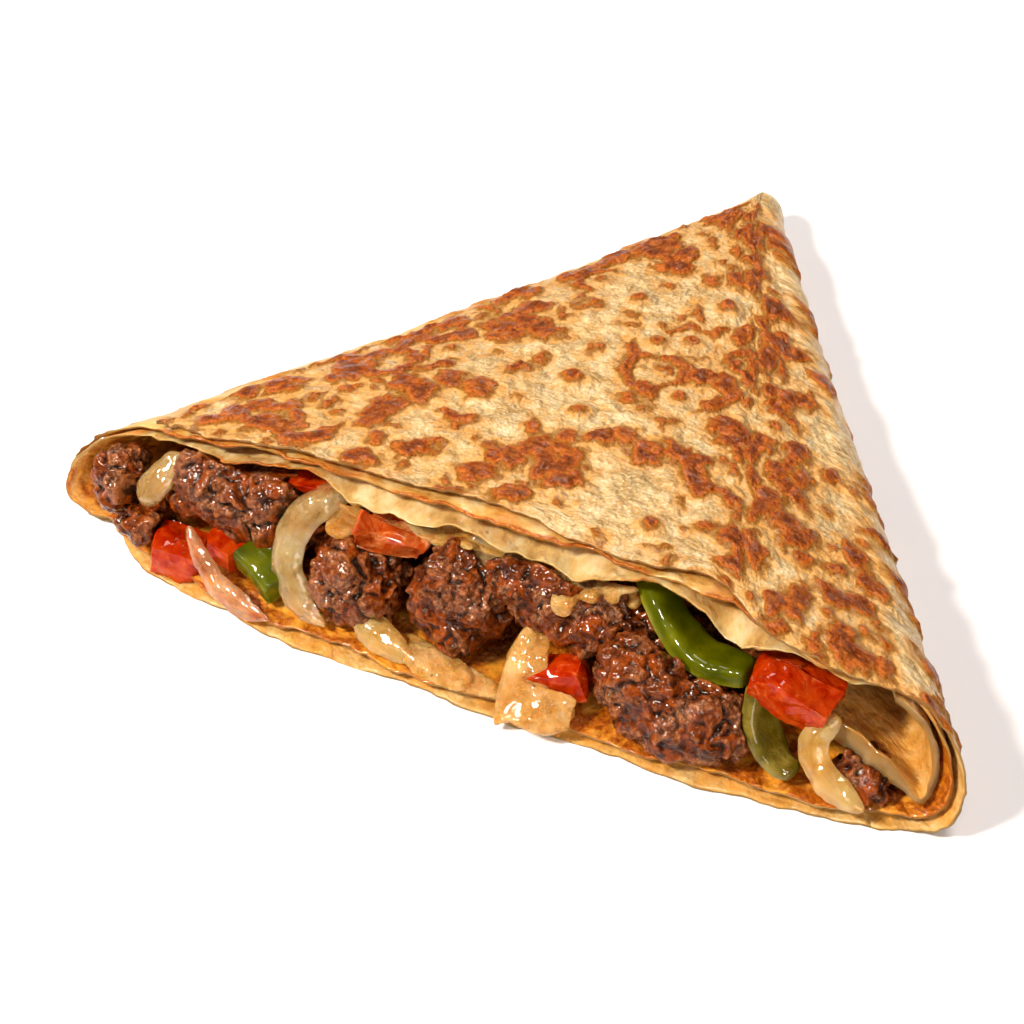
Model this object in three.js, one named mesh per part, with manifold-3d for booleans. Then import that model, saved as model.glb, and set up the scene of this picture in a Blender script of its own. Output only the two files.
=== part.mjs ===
// A savory crepe folded into a wedge, with its filling showing at the open front.
// Units are millimetres, +Z is up. The wedge's tip points to +Y and its open front to -Y.
//
// The crepe is one round sheet, wound as a flattened cone round the tip: top flap, right fold, lower
// sheet, left fold, second top layer, inner right fold, inner lower sheet, inner left fold, third top
// layer, and a curled end in the right corner. Between the inner layers lies the filling: a core that
// runs from the front to near the tip, with browned meat, pepper, tomato, onion and cheese before it.
import * as THREE from "three";
import { mergeVertices } from "three/addons/utils/BufferGeometryUtils.js";
import Module from "manifold-3d";

const wasm = await Module();
wasm.setup();

// ---- driving dimensions ----
const LEFT_HALF = 105; // from the middle line to the outside of the left fold, at the front
const RIGHT_HALF = 102; // the same on the right
const DEPTH = 162; // from the tip to the front
const SHEET = 1.3; // thickness of the crepe
const LAYER_PITCH = 2.1; // from one layer to the next
const TIP_RADIUS = 6.4; // half the packet's thickness at its tip
const FOLD_RADIUS = 13.2; // half the packet's thickness at its front corners
const CROWN = 10.8; // how far the filling lifts the middle of the top above its folds
const NOSE = 8; // length over which the tip rounds off
const WAIST = 0.03; // how far the left side draws in halfway back, as a share of its width
const FLARE_RUN = 26; // how far behind the front edge the top layers start to part
const BOW = 14.3; // how far the lower sheets bow forward in the middle
const CLEAR = 0.3; // gap kept between touching pieces
const ORIGIN = [-0.05, 71.57]; // middle of the bounding box, in the modelling frame

const rad = THREE.MathUtils.degToRad;
const mix = THREE.MathUtils.lerp;
const ease = (x, from, to) => THREE.MathUtils.smoothstep(x, from, to);
const bump = (x, at, width) => Math.exp(-(((x - at) / width) ** 2));
const steps = (from, to, count) =>
  Array.from({ length: count }, (_, i) => mix(from, to, i / count));

// ---- the folded sheet ----
// "side" runs from -1 at the left fold to 1 at the right one, "back" is the distance from the tip.
// "level" counts the turns of the winding inwards: 0 for the outer turn, 2 for the innermost.
const foldRadius = (back) =>
  mix(TIP_RADIUS, FOLD_RADIUS, (Math.max(back, 0) / DEPTH) ** 1.25);

function flatHalf(side, back) {
  const run = (back - NOSE) / (DEPTH - NOSE);
  const soft = (run + Math.sqrt(run * run + 0.0004)) / 2;
  const share = THREE.MathUtils.clamp(back / DEPTH, 0, 1);
  const waist = side < 0 ? 1 - 4 * WAIST * share * (1 - share) : 1;
  return ((side < 0 ? LEFT_HALF : RIGHT_HALF) - FOLD_RADIUS) * soft * waist;
}

function crown(side, back) {
  const across = Math.max(0, 1 - Math.abs(side) ** 3) ** 1.15;
  return CROWN * (Math.max(back, 0) / DEPTH) ** 1.1 * across;
}

// Each turn of the winding rounds off at the tip a little further in than the one outside it.
const noseStart = (level) => 0.5 + 4.2 * level;
function nose(level, back) {
  const run = Math.min(1, (back - noseStart(level)) / NOSE);
  return Math.sqrt(Math.max(0, 1 - (1 - run) ** 2));
}

// How far the front edges stand before the front line.
function topReach(level, side) {
  const edge = [-7, -6.3, -5.5][level] + [6.5, 4.5, 3][level] * ease(side, 0.58, 0.68);
  const corner = -3.5 * ease(side, 0.84, 1) - 4 * ease(-side, 0.7, 1);
  const wave = 0.6 * Math.sin(6.5 * side + 2.1 * level) + 0.4 * Math.sin(15 * side + 1.3 * level);
  return edge + corner + wave * (1 - side ** 6);
}

function lowReach(level, side) {
  const drawnBack = side < 0 ? 0.93 : 0.5;
  const wave = mix(1, 0.4, (side + 1) / 2) * Math.sin(14 * side + 0.5 + 2 * level);
  return BOW * (1 - drawnBack * Math.abs(side) ** (side < 0 ? 3.2 : 4.5)) - 1.5 * level + wave * (1 - side ** 6);
}

// The top layers part towards the front edge, and sag where the filling is low.
function flare(level, side, ahead) {
  const droop = [0.3, -0.3, -0.6][level] + [0.2, 0.4, 0.5][level] * Math.sin(9 * side + 1.7 * level);
  const sag = [1.2, 0.8, 0.4][level] * bump(side, 0.17, 0.15);
  return (droop - sag) * ease(ahead, -FLARE_RUN, 0) * (1 - side ** 6);
}

// One ruling of the sheet, from the tip's end to the front edge. "turn" is 0 on top, 180 below, and
// between them on a fold, where the winding passes from the upper turn to the lower one.
function station(side, turn, upper, lower = upper) {
  const bottomShare = turn / 180;
  const level = mix(upper, lower, bottomShare);
  const bulge = (side < 0 ? 3.5 : 0.5) * Math.sin(rad(turn));
  const reach = mix(topReach(upper, side), lowReach(lower, side), ease(turn, 0, 180)) + bulge;
  const end = DEPTH + reach;
  return {
    start: 0.1 + noseStart(level) + 18 * Math.max(0, level - 1),
    end,
    at(back, inset) {
      const radius = (foldRadius(back) - level * LAYER_PITCH - inset) * nose(level, back);
      const lift = turn === 0 ? crown(side, back) + flare(upper, side, back - end) : 0;
      return [
        side * flatHalf(side, back) + Math.sign(side) * radius * Math.sin(rad(turn)),
        foldRadius(back) + radius * Math.cos(rad(turn)) + lift,
      ];
    },
  };
}

// The sheet's last end turns down inside the right corner and runs back as a short flap.
const CURL_LEVEL = 2;
const CURL_BEND = 125; // where the tight bend starts, in degrees from the top of the fold
const CURL_END = 199; // the direction in which the flap runs back
const FLAP_LENGTH = 20;
const CURL_START = 95; // how far from the tip the flap starts
function curlStation(turn, along) {
  const fold = station(1, 0, CURL_LEVEL);
  const share = ease(turn, 0, CURL_END);
  return {
    start: mix(fold.start, CURL_START, Math.min(1, (2 * turn) / CURL_BEND)),
    end: DEPTH + mix(topReach(CURL_LEVEL, 1), lowReach(1, 1) - 1, share) - 0.2 * along,
    at(back, inset) {
      const wide = foldRadius(back) - CURL_LEVEL * LAYER_PITCH - SHEET / 2;
      const tight = 0.42 * wide;
      const bend = rad(Math.min(turn, CURL_BEND));
      const last = rad(turn);
      const radius = tight + SHEET / 2 - inset;
      const run = (along * back) / DEPTH;
      return [
        flatHalf(1, back) + (wide - tight) * Math.sin(bend) + radius * Math.sin(last) + run * Math.cos(last),
        foldRadius(back) + (wide - tight) * Math.cos(bend) + radius * Math.cos(last) - run * Math.sin(last),
      ];
    },
  };
}

function windingStations() {
  const list = [];
  const flat = (from, to, count, turn, level) =>
    steps(from, to, count).forEach((side) => list.push(station(side, turn, level)));
  const fold = (side, from, to, upper, lower) =>
    steps(from, to, 5).forEach((turn) => list.push(station(side, turn, upper, lower)));
  flat(-0.98, 1, 16, 0, 0);
  fold(1, 0, 180, 0, 0);
  flat(1, -1, 9, 180, 0);
  fold(-1, 180, 0, 1, 0);
  flat(-1, 1, 13, 0, 1);
  fold(1, 0, 180, 1, 1);
  flat(1, -1, 9, 180, 1);
  fold(-1, 180, 0, 2, 1);
  flat(-1, 1, 13, 0, 2);
  steps(0, CURL_BEND, 4).forEach((turn) => list.push(curlStation(turn, 0)));
  steps(CURL_BEND, CURL_END, 3).forEach((turn) => list.push(curlStation(turn, 0)));
  [0, 0.35, 0.7, 1].forEach((share) => list.push(curlStation(CURL_END, share * FLAP_LENGTH)));
  return list;
}

// Rows from the tip to the front edge, closer together where the form changes fast.
const SHEET_ROWS = [0.004, 0.025, 0.08, 0.3, 0.6, 0.84, 0.93, 1];

// A closed sheet over the winding. "swell" thickens it on both faces and at its front edge.
function windingGeometry(swell = 0) {
  const stations = windingStations();
  const position = [];
  for (const inset of [-swell, SHEET + swell]) {
    for (const ruling of stations) {
      for (const share of SHEET_ROWS) {
        const back = mix(ruling.start, ruling.end, share) + (share === 1 ? swell : 0);
        const [x, z] = ruling.at(back, inset);
        position.push(x, DEPTH - back, z);
      }
    }
  }
  return slabGeometry(position, stations.length, SHEET_ROWS.length);
}

// Closes two faces of the same grid into one solid: the first face outside, then the inner one.
function slabGeometry(position, across, rows) {
  const at = (face, i, j) => (face * across + i) * rows + j;
  const index = [];
  const quad = (a, b, c, d) => index.push(a, b, c, a, c, d);
  for (let i = 0; i + 1 < across; i++) {
    for (let j = 0; j + 1 < rows; j++) {
      quad(at(0, i, j), at(0, i, j + 1), at(0, i + 1, j + 1), at(0, i + 1, j));
      quad(at(1, i, j), at(1, i + 1, j), at(1, i + 1, j + 1), at(1, i, j + 1));
    }
    quad(at(0, i, 0), at(0, i + 1, 0), at(1, i + 1, 0), at(1, i, 0));
    const j = rows - 1;
    quad(at(0, i, j), at(1, i, j), at(1, i + 1, j), at(0, i + 1, j));
  }
  for (let j = 0; j + 1 < rows; j++) {
    quad(at(0, 0, j), at(1, 0, j), at(1, 0, j + 1), at(0, 0, j + 1));
    const i = across - 1;
    quad(at(0, i, j), at(0, i, j + 1), at(1, i, j + 1), at(1, i, j));
  }
  return geometryOf(position, index);
}

function geometryOf(position, index) {
  return new THREE.BufferGeometry()
    .setAttribute("position", new THREE.Float32BufferAttribute(position, 3))
    .setIndex(index);
}

// ---- closed shapes for the filling ----
function welded(geometry) {
  const bare = geometry.clone();
  bare.deleteAttribute("normal");
  bare.deleteAttribute("uv");
  return mergeVertices(bare, 1e-4);
}

// A slow, uneven swelling over a surface, from -1 to 1.
const unevenness = (p, seed) =>
  (Math.sin(3.1 * p.x + 1.7 * seed) +
    Math.sin(3.4 * p.y + 2.3 * seed + 1) +
    Math.sin(3.7 * p.z + 3.1 * seed + 2) +
    Math.sin(4.6 * (p.x - p.z) + seed)) /
  4;

// A lump of meat: an uneven ball pulled to its size.
function lumpGeometry({ size, seed, detail = 3 }) {
  const geometry = welded(new THREE.IcosahedronGeometry(0.5, detail));
  const place = geometry.getAttribute("position");
  const p = new THREE.Vector3();
  for (let i = 0; i < place.count; i++) {
    p.fromBufferAttribute(place, i);
    const swelling = 1 + MEAT_ROUGHNESS * unevenness(p.clone().multiplyScalar(2), seed);
    p.multiplyScalar(swelling).multiply(new THREE.Vector3(...size));
    place.setXYZ(i, p.x, p.y, p.z);
  }
  return geometry;
}

// A cut die of tomato: a box with rounded, slightly sunken faces.
function dieGeometry({ size, seed }) {
  const geometry = welded(new THREE.BoxGeometry(1, 1, 1, 3, 3, 3));
  const place = geometry.getAttribute("position");
  const p = new THREE.Vector3();
  for (let i = 0; i < place.count; i++) {
    p.fromBufferAttribute(place, i);
    const ball = p.clone().normalize().multiplyScalar(0.62);
    p.lerp(ball, DIE_ROUNDING).multiplyScalar(1 + 0.08 * unevenness(ball.multiplyScalar(3), seed));
    p.multiply(new THREE.Vector3(...size));
    place.setXYZ(i, p.x, p.y, p.z);
  }
  return geometry;
}

// A strip or a run of melted cheese along a path. Its broad side faces "face", it is hollowed like a
// cut onion ring by "cup", and it rounds off at both ends. Widths and thicknesses follow the path.
function runGeometry({ path, width, thick, face, cup = 0, rings = 8, around = 6 }) {
  const curve = new THREE.CatmullRomCurve3(path.map((point) => new THREE.Vector3(...point)));
  const normal = new THREE.Vector3(...face).normalize();
  const position = [];
  for (let i = 0; i <= rings; i++) {
    const share = (1 - Math.cos((Math.PI * i) / rings)) / 2;
    const end = Math.sqrt(Math.max(0.03, 1 - Math.abs(2 * share - 1) ** 5));
    const across = new THREE.Vector3().crossVectors(curve.getTangent(share), normal).normalize();
    const out = new THREE.Vector3().crossVectors(across, curve.getTangent(share));
    const half = (valueAlong(width, share) * end) / 2;
    const deep = (valueAlong(thick, share) * Math.sqrt(end)) / 2;
    for (let k = 0; k < around; k++) {
      const turn = (2 * Math.PI * k) / around;
      const hollow = cup * half * Math.sin(turn) ** 2;
      const p = curve.getPoint(share);
      p.addScaledVector(across, half * Math.cos(turn));
      p.addScaledVector(out, deep * Math.sin(turn) + hollow);
      position.push(p.x, p.y, p.z);
    }
  }
  const index = [];
  for (let i = 0; i < rings; i++) {
    for (let k = 0; k < around; k++) {
      const a = i * around + k;
      const b = i * around + ((k + 1) % around);
      index.push(a, b + around, b, a, a + around, b + around);
    }
  }
  for (let k = 1; k + 1 < around; k++) {
    index.push(0, k, k + 1);
    index.push(rings * around, rings * around + k + 1, rings * around + k);
  }
  return geometryOf(position, index);
}

// A value that follows a path: one number, or a number at each point with straight steps between.
function valueAlong(values, share) {
  if (!Array.isArray(values)) return values;
  const place = share * (values.length - 1);
  const before = Math.min(Math.floor(place), values.length - 2);
  return mix(values[before], values[before + 1], place - before);
}

// The same shape with its surface moved out by a distance.
function grown(geometry, distance) {
  geometry.computeVertexNormals();
  const place = geometry.getAttribute("position");
  const normal = geometry.getAttribute("normal");
  const p = new THREE.Vector3();
  const n = new THREE.Vector3();
  for (let i = 0; i < place.count; i++) {
    p.fromBufferAttribute(place, i).addScaledVector(n.fromBufferAttribute(normal, i), distance);
    place.setXYZ(i, p.x, p.y, p.z);
  }
  return geometry;
}

// ---- the filling's pieces ----
// "at" is a piece's middle: x across, y back from the front line, z above the floor. "turn" is in
// degrees about X, Y and Z.
const MEAT_ROUGHNESS = 0.2;
const MEAT = [
  { name: "meat_1", at: [-87, 2.5, 13.5], size: [13, 14, 15], seed: 1, detail: 2 },
  { name: "meat_2", at: [-80, -1, 9], size: [15, 12, 10], seed: 2, detail: 2, turn: [0, 15, 0] },
  { name: "meat_3", at: [-58, 5, 18.5], size: [36, 19, 19], seed: 3, turn: [0, 3, 4] },
  { name: "meat_4", at: [-30, 2, 12], size: [22, 20, 23], seed: 4, detail: 2, turn: [0, -15, 0] },
  { name: "meat_5", at: [-6, 2, 13], size: [23, 20, 27], seed: 5, detail: 2, turn: [0, -18, 0] },
  { name: "meat_6", at: [17, 6, 18.5], size: [36, 19, 19], seed: 6, turn: [0, 14, 0] },
  { name: "meat_7", at: [42.5, -1.5, 11], size: [38, 22, 21], seed: 7, turn: [0, 17, 0] },
  { name: "meat_8", at: [84, -0.5, 8.5], size: [15, 13, 11], seed: 8, detail: 2, turn: [0, 20, 0] },
];

const DIE_ROUNDING = 0.3;
const TOMATO = [
  { name: "tomato_1", at: [-71, -3.5, 8], size: [12, 11, 10], seed: 1, turn: [0, 10, 12] },
  { name: "tomato_2", at: [-60, -1, 8.5], size: [10, 9, 7], seed: 2, turn: [0, 0, -20] },
  { name: "tomato_3", at: [-22.5, 3.5, 25], size: [16, 10, 10], seed: 3, turn: [14, 14, 8] },
  { name: "tomato_4", at: [19.5, -6, 8.5], size: [13, 8, 9], seed: 4, turn: [0, -20, 10] },
  { name: "tomato_5", at: [66.5, 1.5, 20.5], size: [18, 12, 11], seed: 5, turn: [10, 22, 0] },
  { name: "tomato_6", at: [-43, 8.5, 27], size: [11, 8, 6], seed: 6, turn: [0, 0, 0] },
];

const PEPPER = [
  {
    name: "pepper_1",
    path: [[-55, -2, 10.5], [-48.5, -4.5, 8], [-42, -5.5, 8.5]],
    width: 10,
    thick: 6,
    face: [0.2, -0.7, 0.7],
    cup: 0.2,
  },
  {
    name: "pepper_2",
    path: [[31.5, 9, 27], [37.5, 5, 21.5], [46, 3, 18], [57, 3, 18]],
    width: [8, 11, 11, 8],
    thick: 5,
    face: [0.6, 0.2, 0.8],
    cup: -0.25,
  },
  {
    name: "pepper_3",
    path: [[59, 1.5, 18.5], [61.5, -3, 12], [66, -6.5, 7.5], [71, -8, 6.5]],
    width: [6, 9, 9, 6],
    thick: 4.2,
    face: [0.7, -0.2, 0.7],
    cup: -0.2,
  },
];

const ONION = [
  {
    name: "onion_1",
    path: [[-77, 3, 22.5], [-80, -0.5, 17.5], [-78, -4, 12.5]],
    width: 8,
    thick: 3.6,
    face: [-0.2, -0.8, 0.6],
  },
  {
    name: "onion_2",
    path: [[-67, -4.5, 14], [-62, -7.5, 10], [-57, -9.5, 7], [-51, -11.5, 5.5]],
    width: 5,
    thick: 2.4,
    face: [0, -0.8, 0.6],
  },
  {
    name: "onion_3",
    path: [[-38.5, 3, 27.5], [-43.5, 0, 21.5], [-43.5, -5, 13.5], [-38.5, -8.5, 7.5], [-32, -10.5, 5.5]],
    width: [5, 7, 7, 6, 5],
    thick: 2.6,
    face: [-0.4, -0.7, 0.6],
    cup: 0.2,
  },
  {
    name: "onion_4",
    path: [[-27, -7, 7.5], [-20.5, -9, 6], [-14.5, -10, 5.5]],
    width: 6.5,
    thick: 3,
    face: [0, -0.5, 0.9],
  },
  {
    name: "onion_5",
    path: [[-5.5, 6.5, 28], [-2, 5.5, 25.5], [2, 5, 23.5]],
    width: 7,
    thick: 2,
    face: [0.3, -0.8, 0.5],
  },
  {
    name: "onion_6",
    path: [[74, -1, 18.5], [71.5, -4.5, 13], [75, -7.5, 9], [81, -9, 7], [86.5, -10, 5.8]],
    width: [5, 6.5, 6.5, 6, 4.5],
    thick: 3,
    face: [0.2, -0.7, 0.7],
    cup: 0.2,
  },
];

// Melted cheese. The first run hangs along under the third top layer, from side to side.
const LIP_SIDES = [-0.4, 0.36];
const LIP_POINTS = 9;
const lipThickness = (share) => 3.2 + 3.6 * bump(share, 0.02, 0.14) + 2.6 * bump(share, 0.9, 0.12);
const lipPath = steps(0, 1, LIP_POINTS).map((share) => {
  const side = mix(...LIP_SIDES, share);
  const ruling = station(side, 0, 2);
  const back = ruling.end - 2.5;
  const underside = ruling.at(back, SHEET + CLEAR)[1];
  return [side * flatHalf(side, back), DEPTH - back, underside - lipThickness(share) / 2];
});
const CHEESE = [
  {
    name: "cheese_1",
    path: lipPath,
    width: 8,
    thick: steps(0, 1, LIP_POINTS).map(lipThickness),
    face: [0, -0.1, 1],
    rings: 10,
  },
  {
    name: "cheese_2",
    path: [[-15, -8.5, 6.5], [-6.5, -10.5, 6], [2, -11.5, 5.6]],
    width: [7, 9, 8],
    thick: 4,
    face: [0, -0.3, 1],
  },
  {
    name: "cheese_3",
    path: [[11.5, -1.5, 17], [11.5, -6.5, 11], [15.5, -11.5, 6.6], [18, -14.8, 5], [18.5, -17, 2.8]],
    width: [6, 8, 16, 19, 12],
    thick: [4, 5, 4.5, 4, 3.4],
    face: [0, -0.7, 0.7],
    around: 8,
  },
];

// The core of the filling fills the pocket from behind the front pieces to near the tip.
const CORE_BACK = [44, 50, 75, 100, 125, 142, 148];
const CORE_SIDES = [-0.9, 0.76];
function coreGeometry() {
  const COLUMNS = 8;
  const lowest = LAYER_PITCH + SHEET + CLEAR;
  const position = [];
  for (const roof of [1, 0]) {
    for (let i = 0; i <= COLUMNS; i++) {
      const turn = Math.PI * (i / COLUMNS - 0.5);
      const side = mix(...CORE_SIDES, (1 + Math.sin(turn)) / 2);
      const edge = Math.max(0.35, Math.cos(turn)) ** 0.25;
      for (const back of CORE_BACK) {
        const ruling = station(side, 0, 2);
        const ceiling = ruling.at(back, SHEET + CLEAR)[1] - 1.1 * ease(back, DEPTH - FLARE_RUN, DEPTH);
        const end = back === CORE_BACK[0] || back === CORE_BACK.at(-1) ? 0.6 : 1;
        const half = (end * edge * (ceiling - lowest)) / 2;
        const middle = (ceiling + lowest) / 2;
        position.push(side * flatHalf(side, back), DEPTH - back, roof ? middle + half : middle - half);
      }
    }
  }
  return slabGeometry(position, COLUMNS + 1, CORE_BACK.length);
}

// ---- cutting the pieces clear of each other ----
function solidOf(geometry) {
  const merged = welded(geometry);
  return new wasm.Manifold(
    new wasm.Mesh({
      numProp: 3,
      vertProperties: merged.getAttribute("position").array,
      triVerts: new Uint32Array(merged.index.array),
    }),
  );
}

// A named mesh of a solid, placed by its middle.
function meshOf(name, solid, look) {
  const { vertProperties, triVerts } = solid.getMesh();
  const geometry = geometryOf(Array.from(vertProperties), Array.from(triVerts));
  geometry.computeBoundingBox();
  const middle = geometry.boundingBox.getCenter(new THREE.Vector3());
  geometry.translate(-middle.x, -middle.y, -middle.z);
  geometry.computeVertexNormals();
  const mesh = new THREE.Mesh(geometry, look.clone());
  mesh.name = name;
  mesh.position.copy(middle);
  return mesh;
}

const biggest = (solid) =>
  solid.decompose().reduce((best, one) => (one.volume() > best.volume() ? one : best));

// A piece in its place, grown by a distance.
function pieceSolid(makeGeometry, piece, distance) {
  const geometry = grown(makeGeometry(piece), distance);
  if (piece.at) {
    const turn = (piece.turn ?? [0, 0, 0]).map(rad);
    geometry.applyMatrix4(
      new THREE.Matrix4()
        .makeRotationFromEuler(new THREE.Euler(...turn, "ZYX"))
        .setPosition(...piece.at),
    );
  }
  return solidOf(geometry);
}

// ---- materials ----
const material = (color, roughness) =>
  new THREE.MeshStandardMaterial({ color, roughness, metalness: 0 });
const CREPE_LOOK = material("#dcb87f", 0.6);
const MEAT_LOOK = material("#6d402b", 0.45);
const CORE_LOOK = material("#5a3524", 0.55);
const TOMATO_LOOK = material("#cf3a1f", 0.25);
const PEPPER_LOOK = material("#6f8a1e", 0.25);
const ONION_LOOK = material("#cdb78a", 0.25);
const CHEESE_LOOK = material("#ecc879", 0.3);

// ---- assembly ----
const crepe = solidOf(windingGeometry());
const crepeRoom = solidOf(windingGeometry(CLEAR));
const group = new THREE.Group();
group.add(meshOf("crepe", crepe, CREPE_LOOK));

// Each piece gives way to the crepe and to the pieces listed before it.
const filling = [
  [TOMATO, dieGeometry, TOMATO_LOOK],
  [PEPPER, runGeometry, PEPPER_LOOK],
  [ONION, runGeometry, ONION_LOOK],
  [MEAT, lumpGeometry, MEAT_LOOK],
  [CHEESE, runGeometry, CHEESE_LOOK],
];
let taken = crepeRoom;
for (const [pieces, makeGeometry, look] of filling) {
  for (const piece of pieces) {
    const whole = pieceSolid(makeGeometry, piece, 0);
    group.add(meshOf(piece.name, biggest(whole.subtract(taken)), look));
    taken = taken.add(pieceSolid(makeGeometry, piece, CLEAR));
  }
}
group.add(meshOf("filling_core", biggest(solidOf(coreGeometry()).subtract(taken)), CORE_LOOK));

group.position.set(-ORIGIN[0], -ORIGIN[1], 0);
export default group;
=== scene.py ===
"""Looks of a savory crepe folded into a wedge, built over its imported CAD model.

All making is done in millimetres, in the part's modelling frame: x right, y back from the front
line, z up. Each finished mesh is moved into the row frame, in metres.
"""

import math

import bpy
import numpy as np
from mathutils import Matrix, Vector


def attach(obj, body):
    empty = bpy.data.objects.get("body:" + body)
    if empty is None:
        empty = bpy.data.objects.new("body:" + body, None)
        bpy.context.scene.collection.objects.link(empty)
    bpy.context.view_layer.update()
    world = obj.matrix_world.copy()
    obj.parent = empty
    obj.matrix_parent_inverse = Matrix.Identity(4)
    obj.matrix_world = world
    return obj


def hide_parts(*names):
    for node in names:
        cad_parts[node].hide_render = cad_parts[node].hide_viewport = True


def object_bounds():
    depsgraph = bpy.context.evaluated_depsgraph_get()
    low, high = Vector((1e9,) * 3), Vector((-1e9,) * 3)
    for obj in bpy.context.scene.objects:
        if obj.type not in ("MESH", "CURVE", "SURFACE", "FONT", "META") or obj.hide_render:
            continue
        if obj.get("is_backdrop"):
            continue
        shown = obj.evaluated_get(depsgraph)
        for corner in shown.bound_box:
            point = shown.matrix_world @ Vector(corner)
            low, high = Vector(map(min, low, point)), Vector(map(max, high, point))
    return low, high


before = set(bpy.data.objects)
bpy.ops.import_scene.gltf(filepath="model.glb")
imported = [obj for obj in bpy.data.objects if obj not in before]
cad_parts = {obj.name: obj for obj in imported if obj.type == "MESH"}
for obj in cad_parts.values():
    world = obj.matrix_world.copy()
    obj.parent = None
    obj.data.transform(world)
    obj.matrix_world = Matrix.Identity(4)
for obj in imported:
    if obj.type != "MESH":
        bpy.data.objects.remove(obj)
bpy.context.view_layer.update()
MM = 0.001
ORIGIN = np.array([-0.05, 71.57, 0.0])  # the row frame's middle, in the modelling frame

# ---- driving dimensions, the same as the solids' ----
LEFT_HALF = 105.0  # from the middle line to the outside of the left fold, at the front
RIGHT_HALF = 102.0
DEPTH = 162.0  # from the tip to the front
SHEET = 1.3  # thickness of the crepe
LAYER_PITCH = 2.1
TIP_RADIUS = 6.4
FOLD_RADIUS = 13.2
CROWN = 10.8
NOSE = 8.0  # how far back from the tip the layers round off
WAIST = 0.03
FLARE_RUN = 26.0
BOW = 14.3  # how far the lower sheet reaches ahead of the front line, in the middle
CURL_LEVEL = 2
CURL_BEND = 125.0
CURL_END = 199.0
CURL_TIGHTNESS = 0.42  # the curl's radius as a share of the fold's
FLAP_LENGTH = 20.0
FLAP_SLANT = 0.2  # how much the flap's front edge is drawn back for each millimetre along it
CURL_START = 95.0
THIRD_START = 18.0  # how much farther from the tip the third layer starts
LEFT_BULGE, RIGHT_BULGE = 3.5, 0.5  # how far the folds bulge ahead of the front line

# ---- dimensions of the sheet's looks ----
THIN_EDGE = 0.6  # thickness of the sheet at its front edge
THIRD_EDGE = 0.35  # the same, for the third sheet
CURL_EDGES = (1.7, 5.4)  # the same, where the curled end starts and where it ends in a flap
THIN_RUN = 6.0  # how far behind the edge the sheet starts to thin
EDGE_RUN = 12.0  # how far behind the edge its unevenness starts
SEAM = 0.93  # where the sheet's three pieces meet, as a side
TIP_HOLE = 0.002  # what is left open at the tip
LOWEST = 0.02  # height of the sheet's lowest points
NO_CURL = -1
RIM_RADIUS = 170.0  # of the circle on the flat disc along which the front edges vary
INNER_SHIFT = 400.0  # moves the inner face's looks away from the outer face's
INNER_STEP = 4  # the inner face keeps every fourth row of points
INNER_FINE = 14.0  # and all of them this near the front edge
# Where the top sheet's front edge is drawn back: how far, at which side, and how wide.
DRAWN_BACK = [(3.4, 0.04, 0.15), (3.6, 0.52, 0.1), (2.2, -0.7, 0.1)]
LEFT_DRAWN_BACK = 3.2  # the same, round the left fold
# The third sheet's front edge hangs down onto the filling: side, and how far down there.
HANG = [
    (-1, 0), (-0.8, 0.4), (-0.7, 1.5), (-0.58, 0.2), (-0.52, -0.8), (-0.47, -1.8), (-0.42, 1.0),
    (-0.36, 3.4), (-0.25, 3.7), (-0.14, 3.6), (-0.06, 1.7), (0, 2.7), (0.13, 2.8), (0.2, 4.2),
    (0.27, 2.0), (0.34, 0.9), (0.4, -0.8), (0.47, 0.9), (0.53, 1.8), (0.58, 3.8), (0.62, 4.0),
    (0.68, 1.2), (0.76, -0.7), (0.85, 0), (1, 0),
]
HANG_FORWARD = 0.75  # forward for each millimetre down
HANG_RUN = 8.0


# ---- small mathematics ----
def mix(a, b, share):
    return a + (b - a) * share


def ease(x, start, end):
    t = np.clip((np.asarray(x, float) - start) / (end - start), 0, 1)
    return t * t * (3 - 2 * t)


def bump(x, at, width):
    return np.exp(-(((x - at) / width) ** 2))


def rounded(direction):
    vector = np.asarray(direction, float)
    return vector / np.linalg.norm(vector, axis=-1, keepdims=True)


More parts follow.
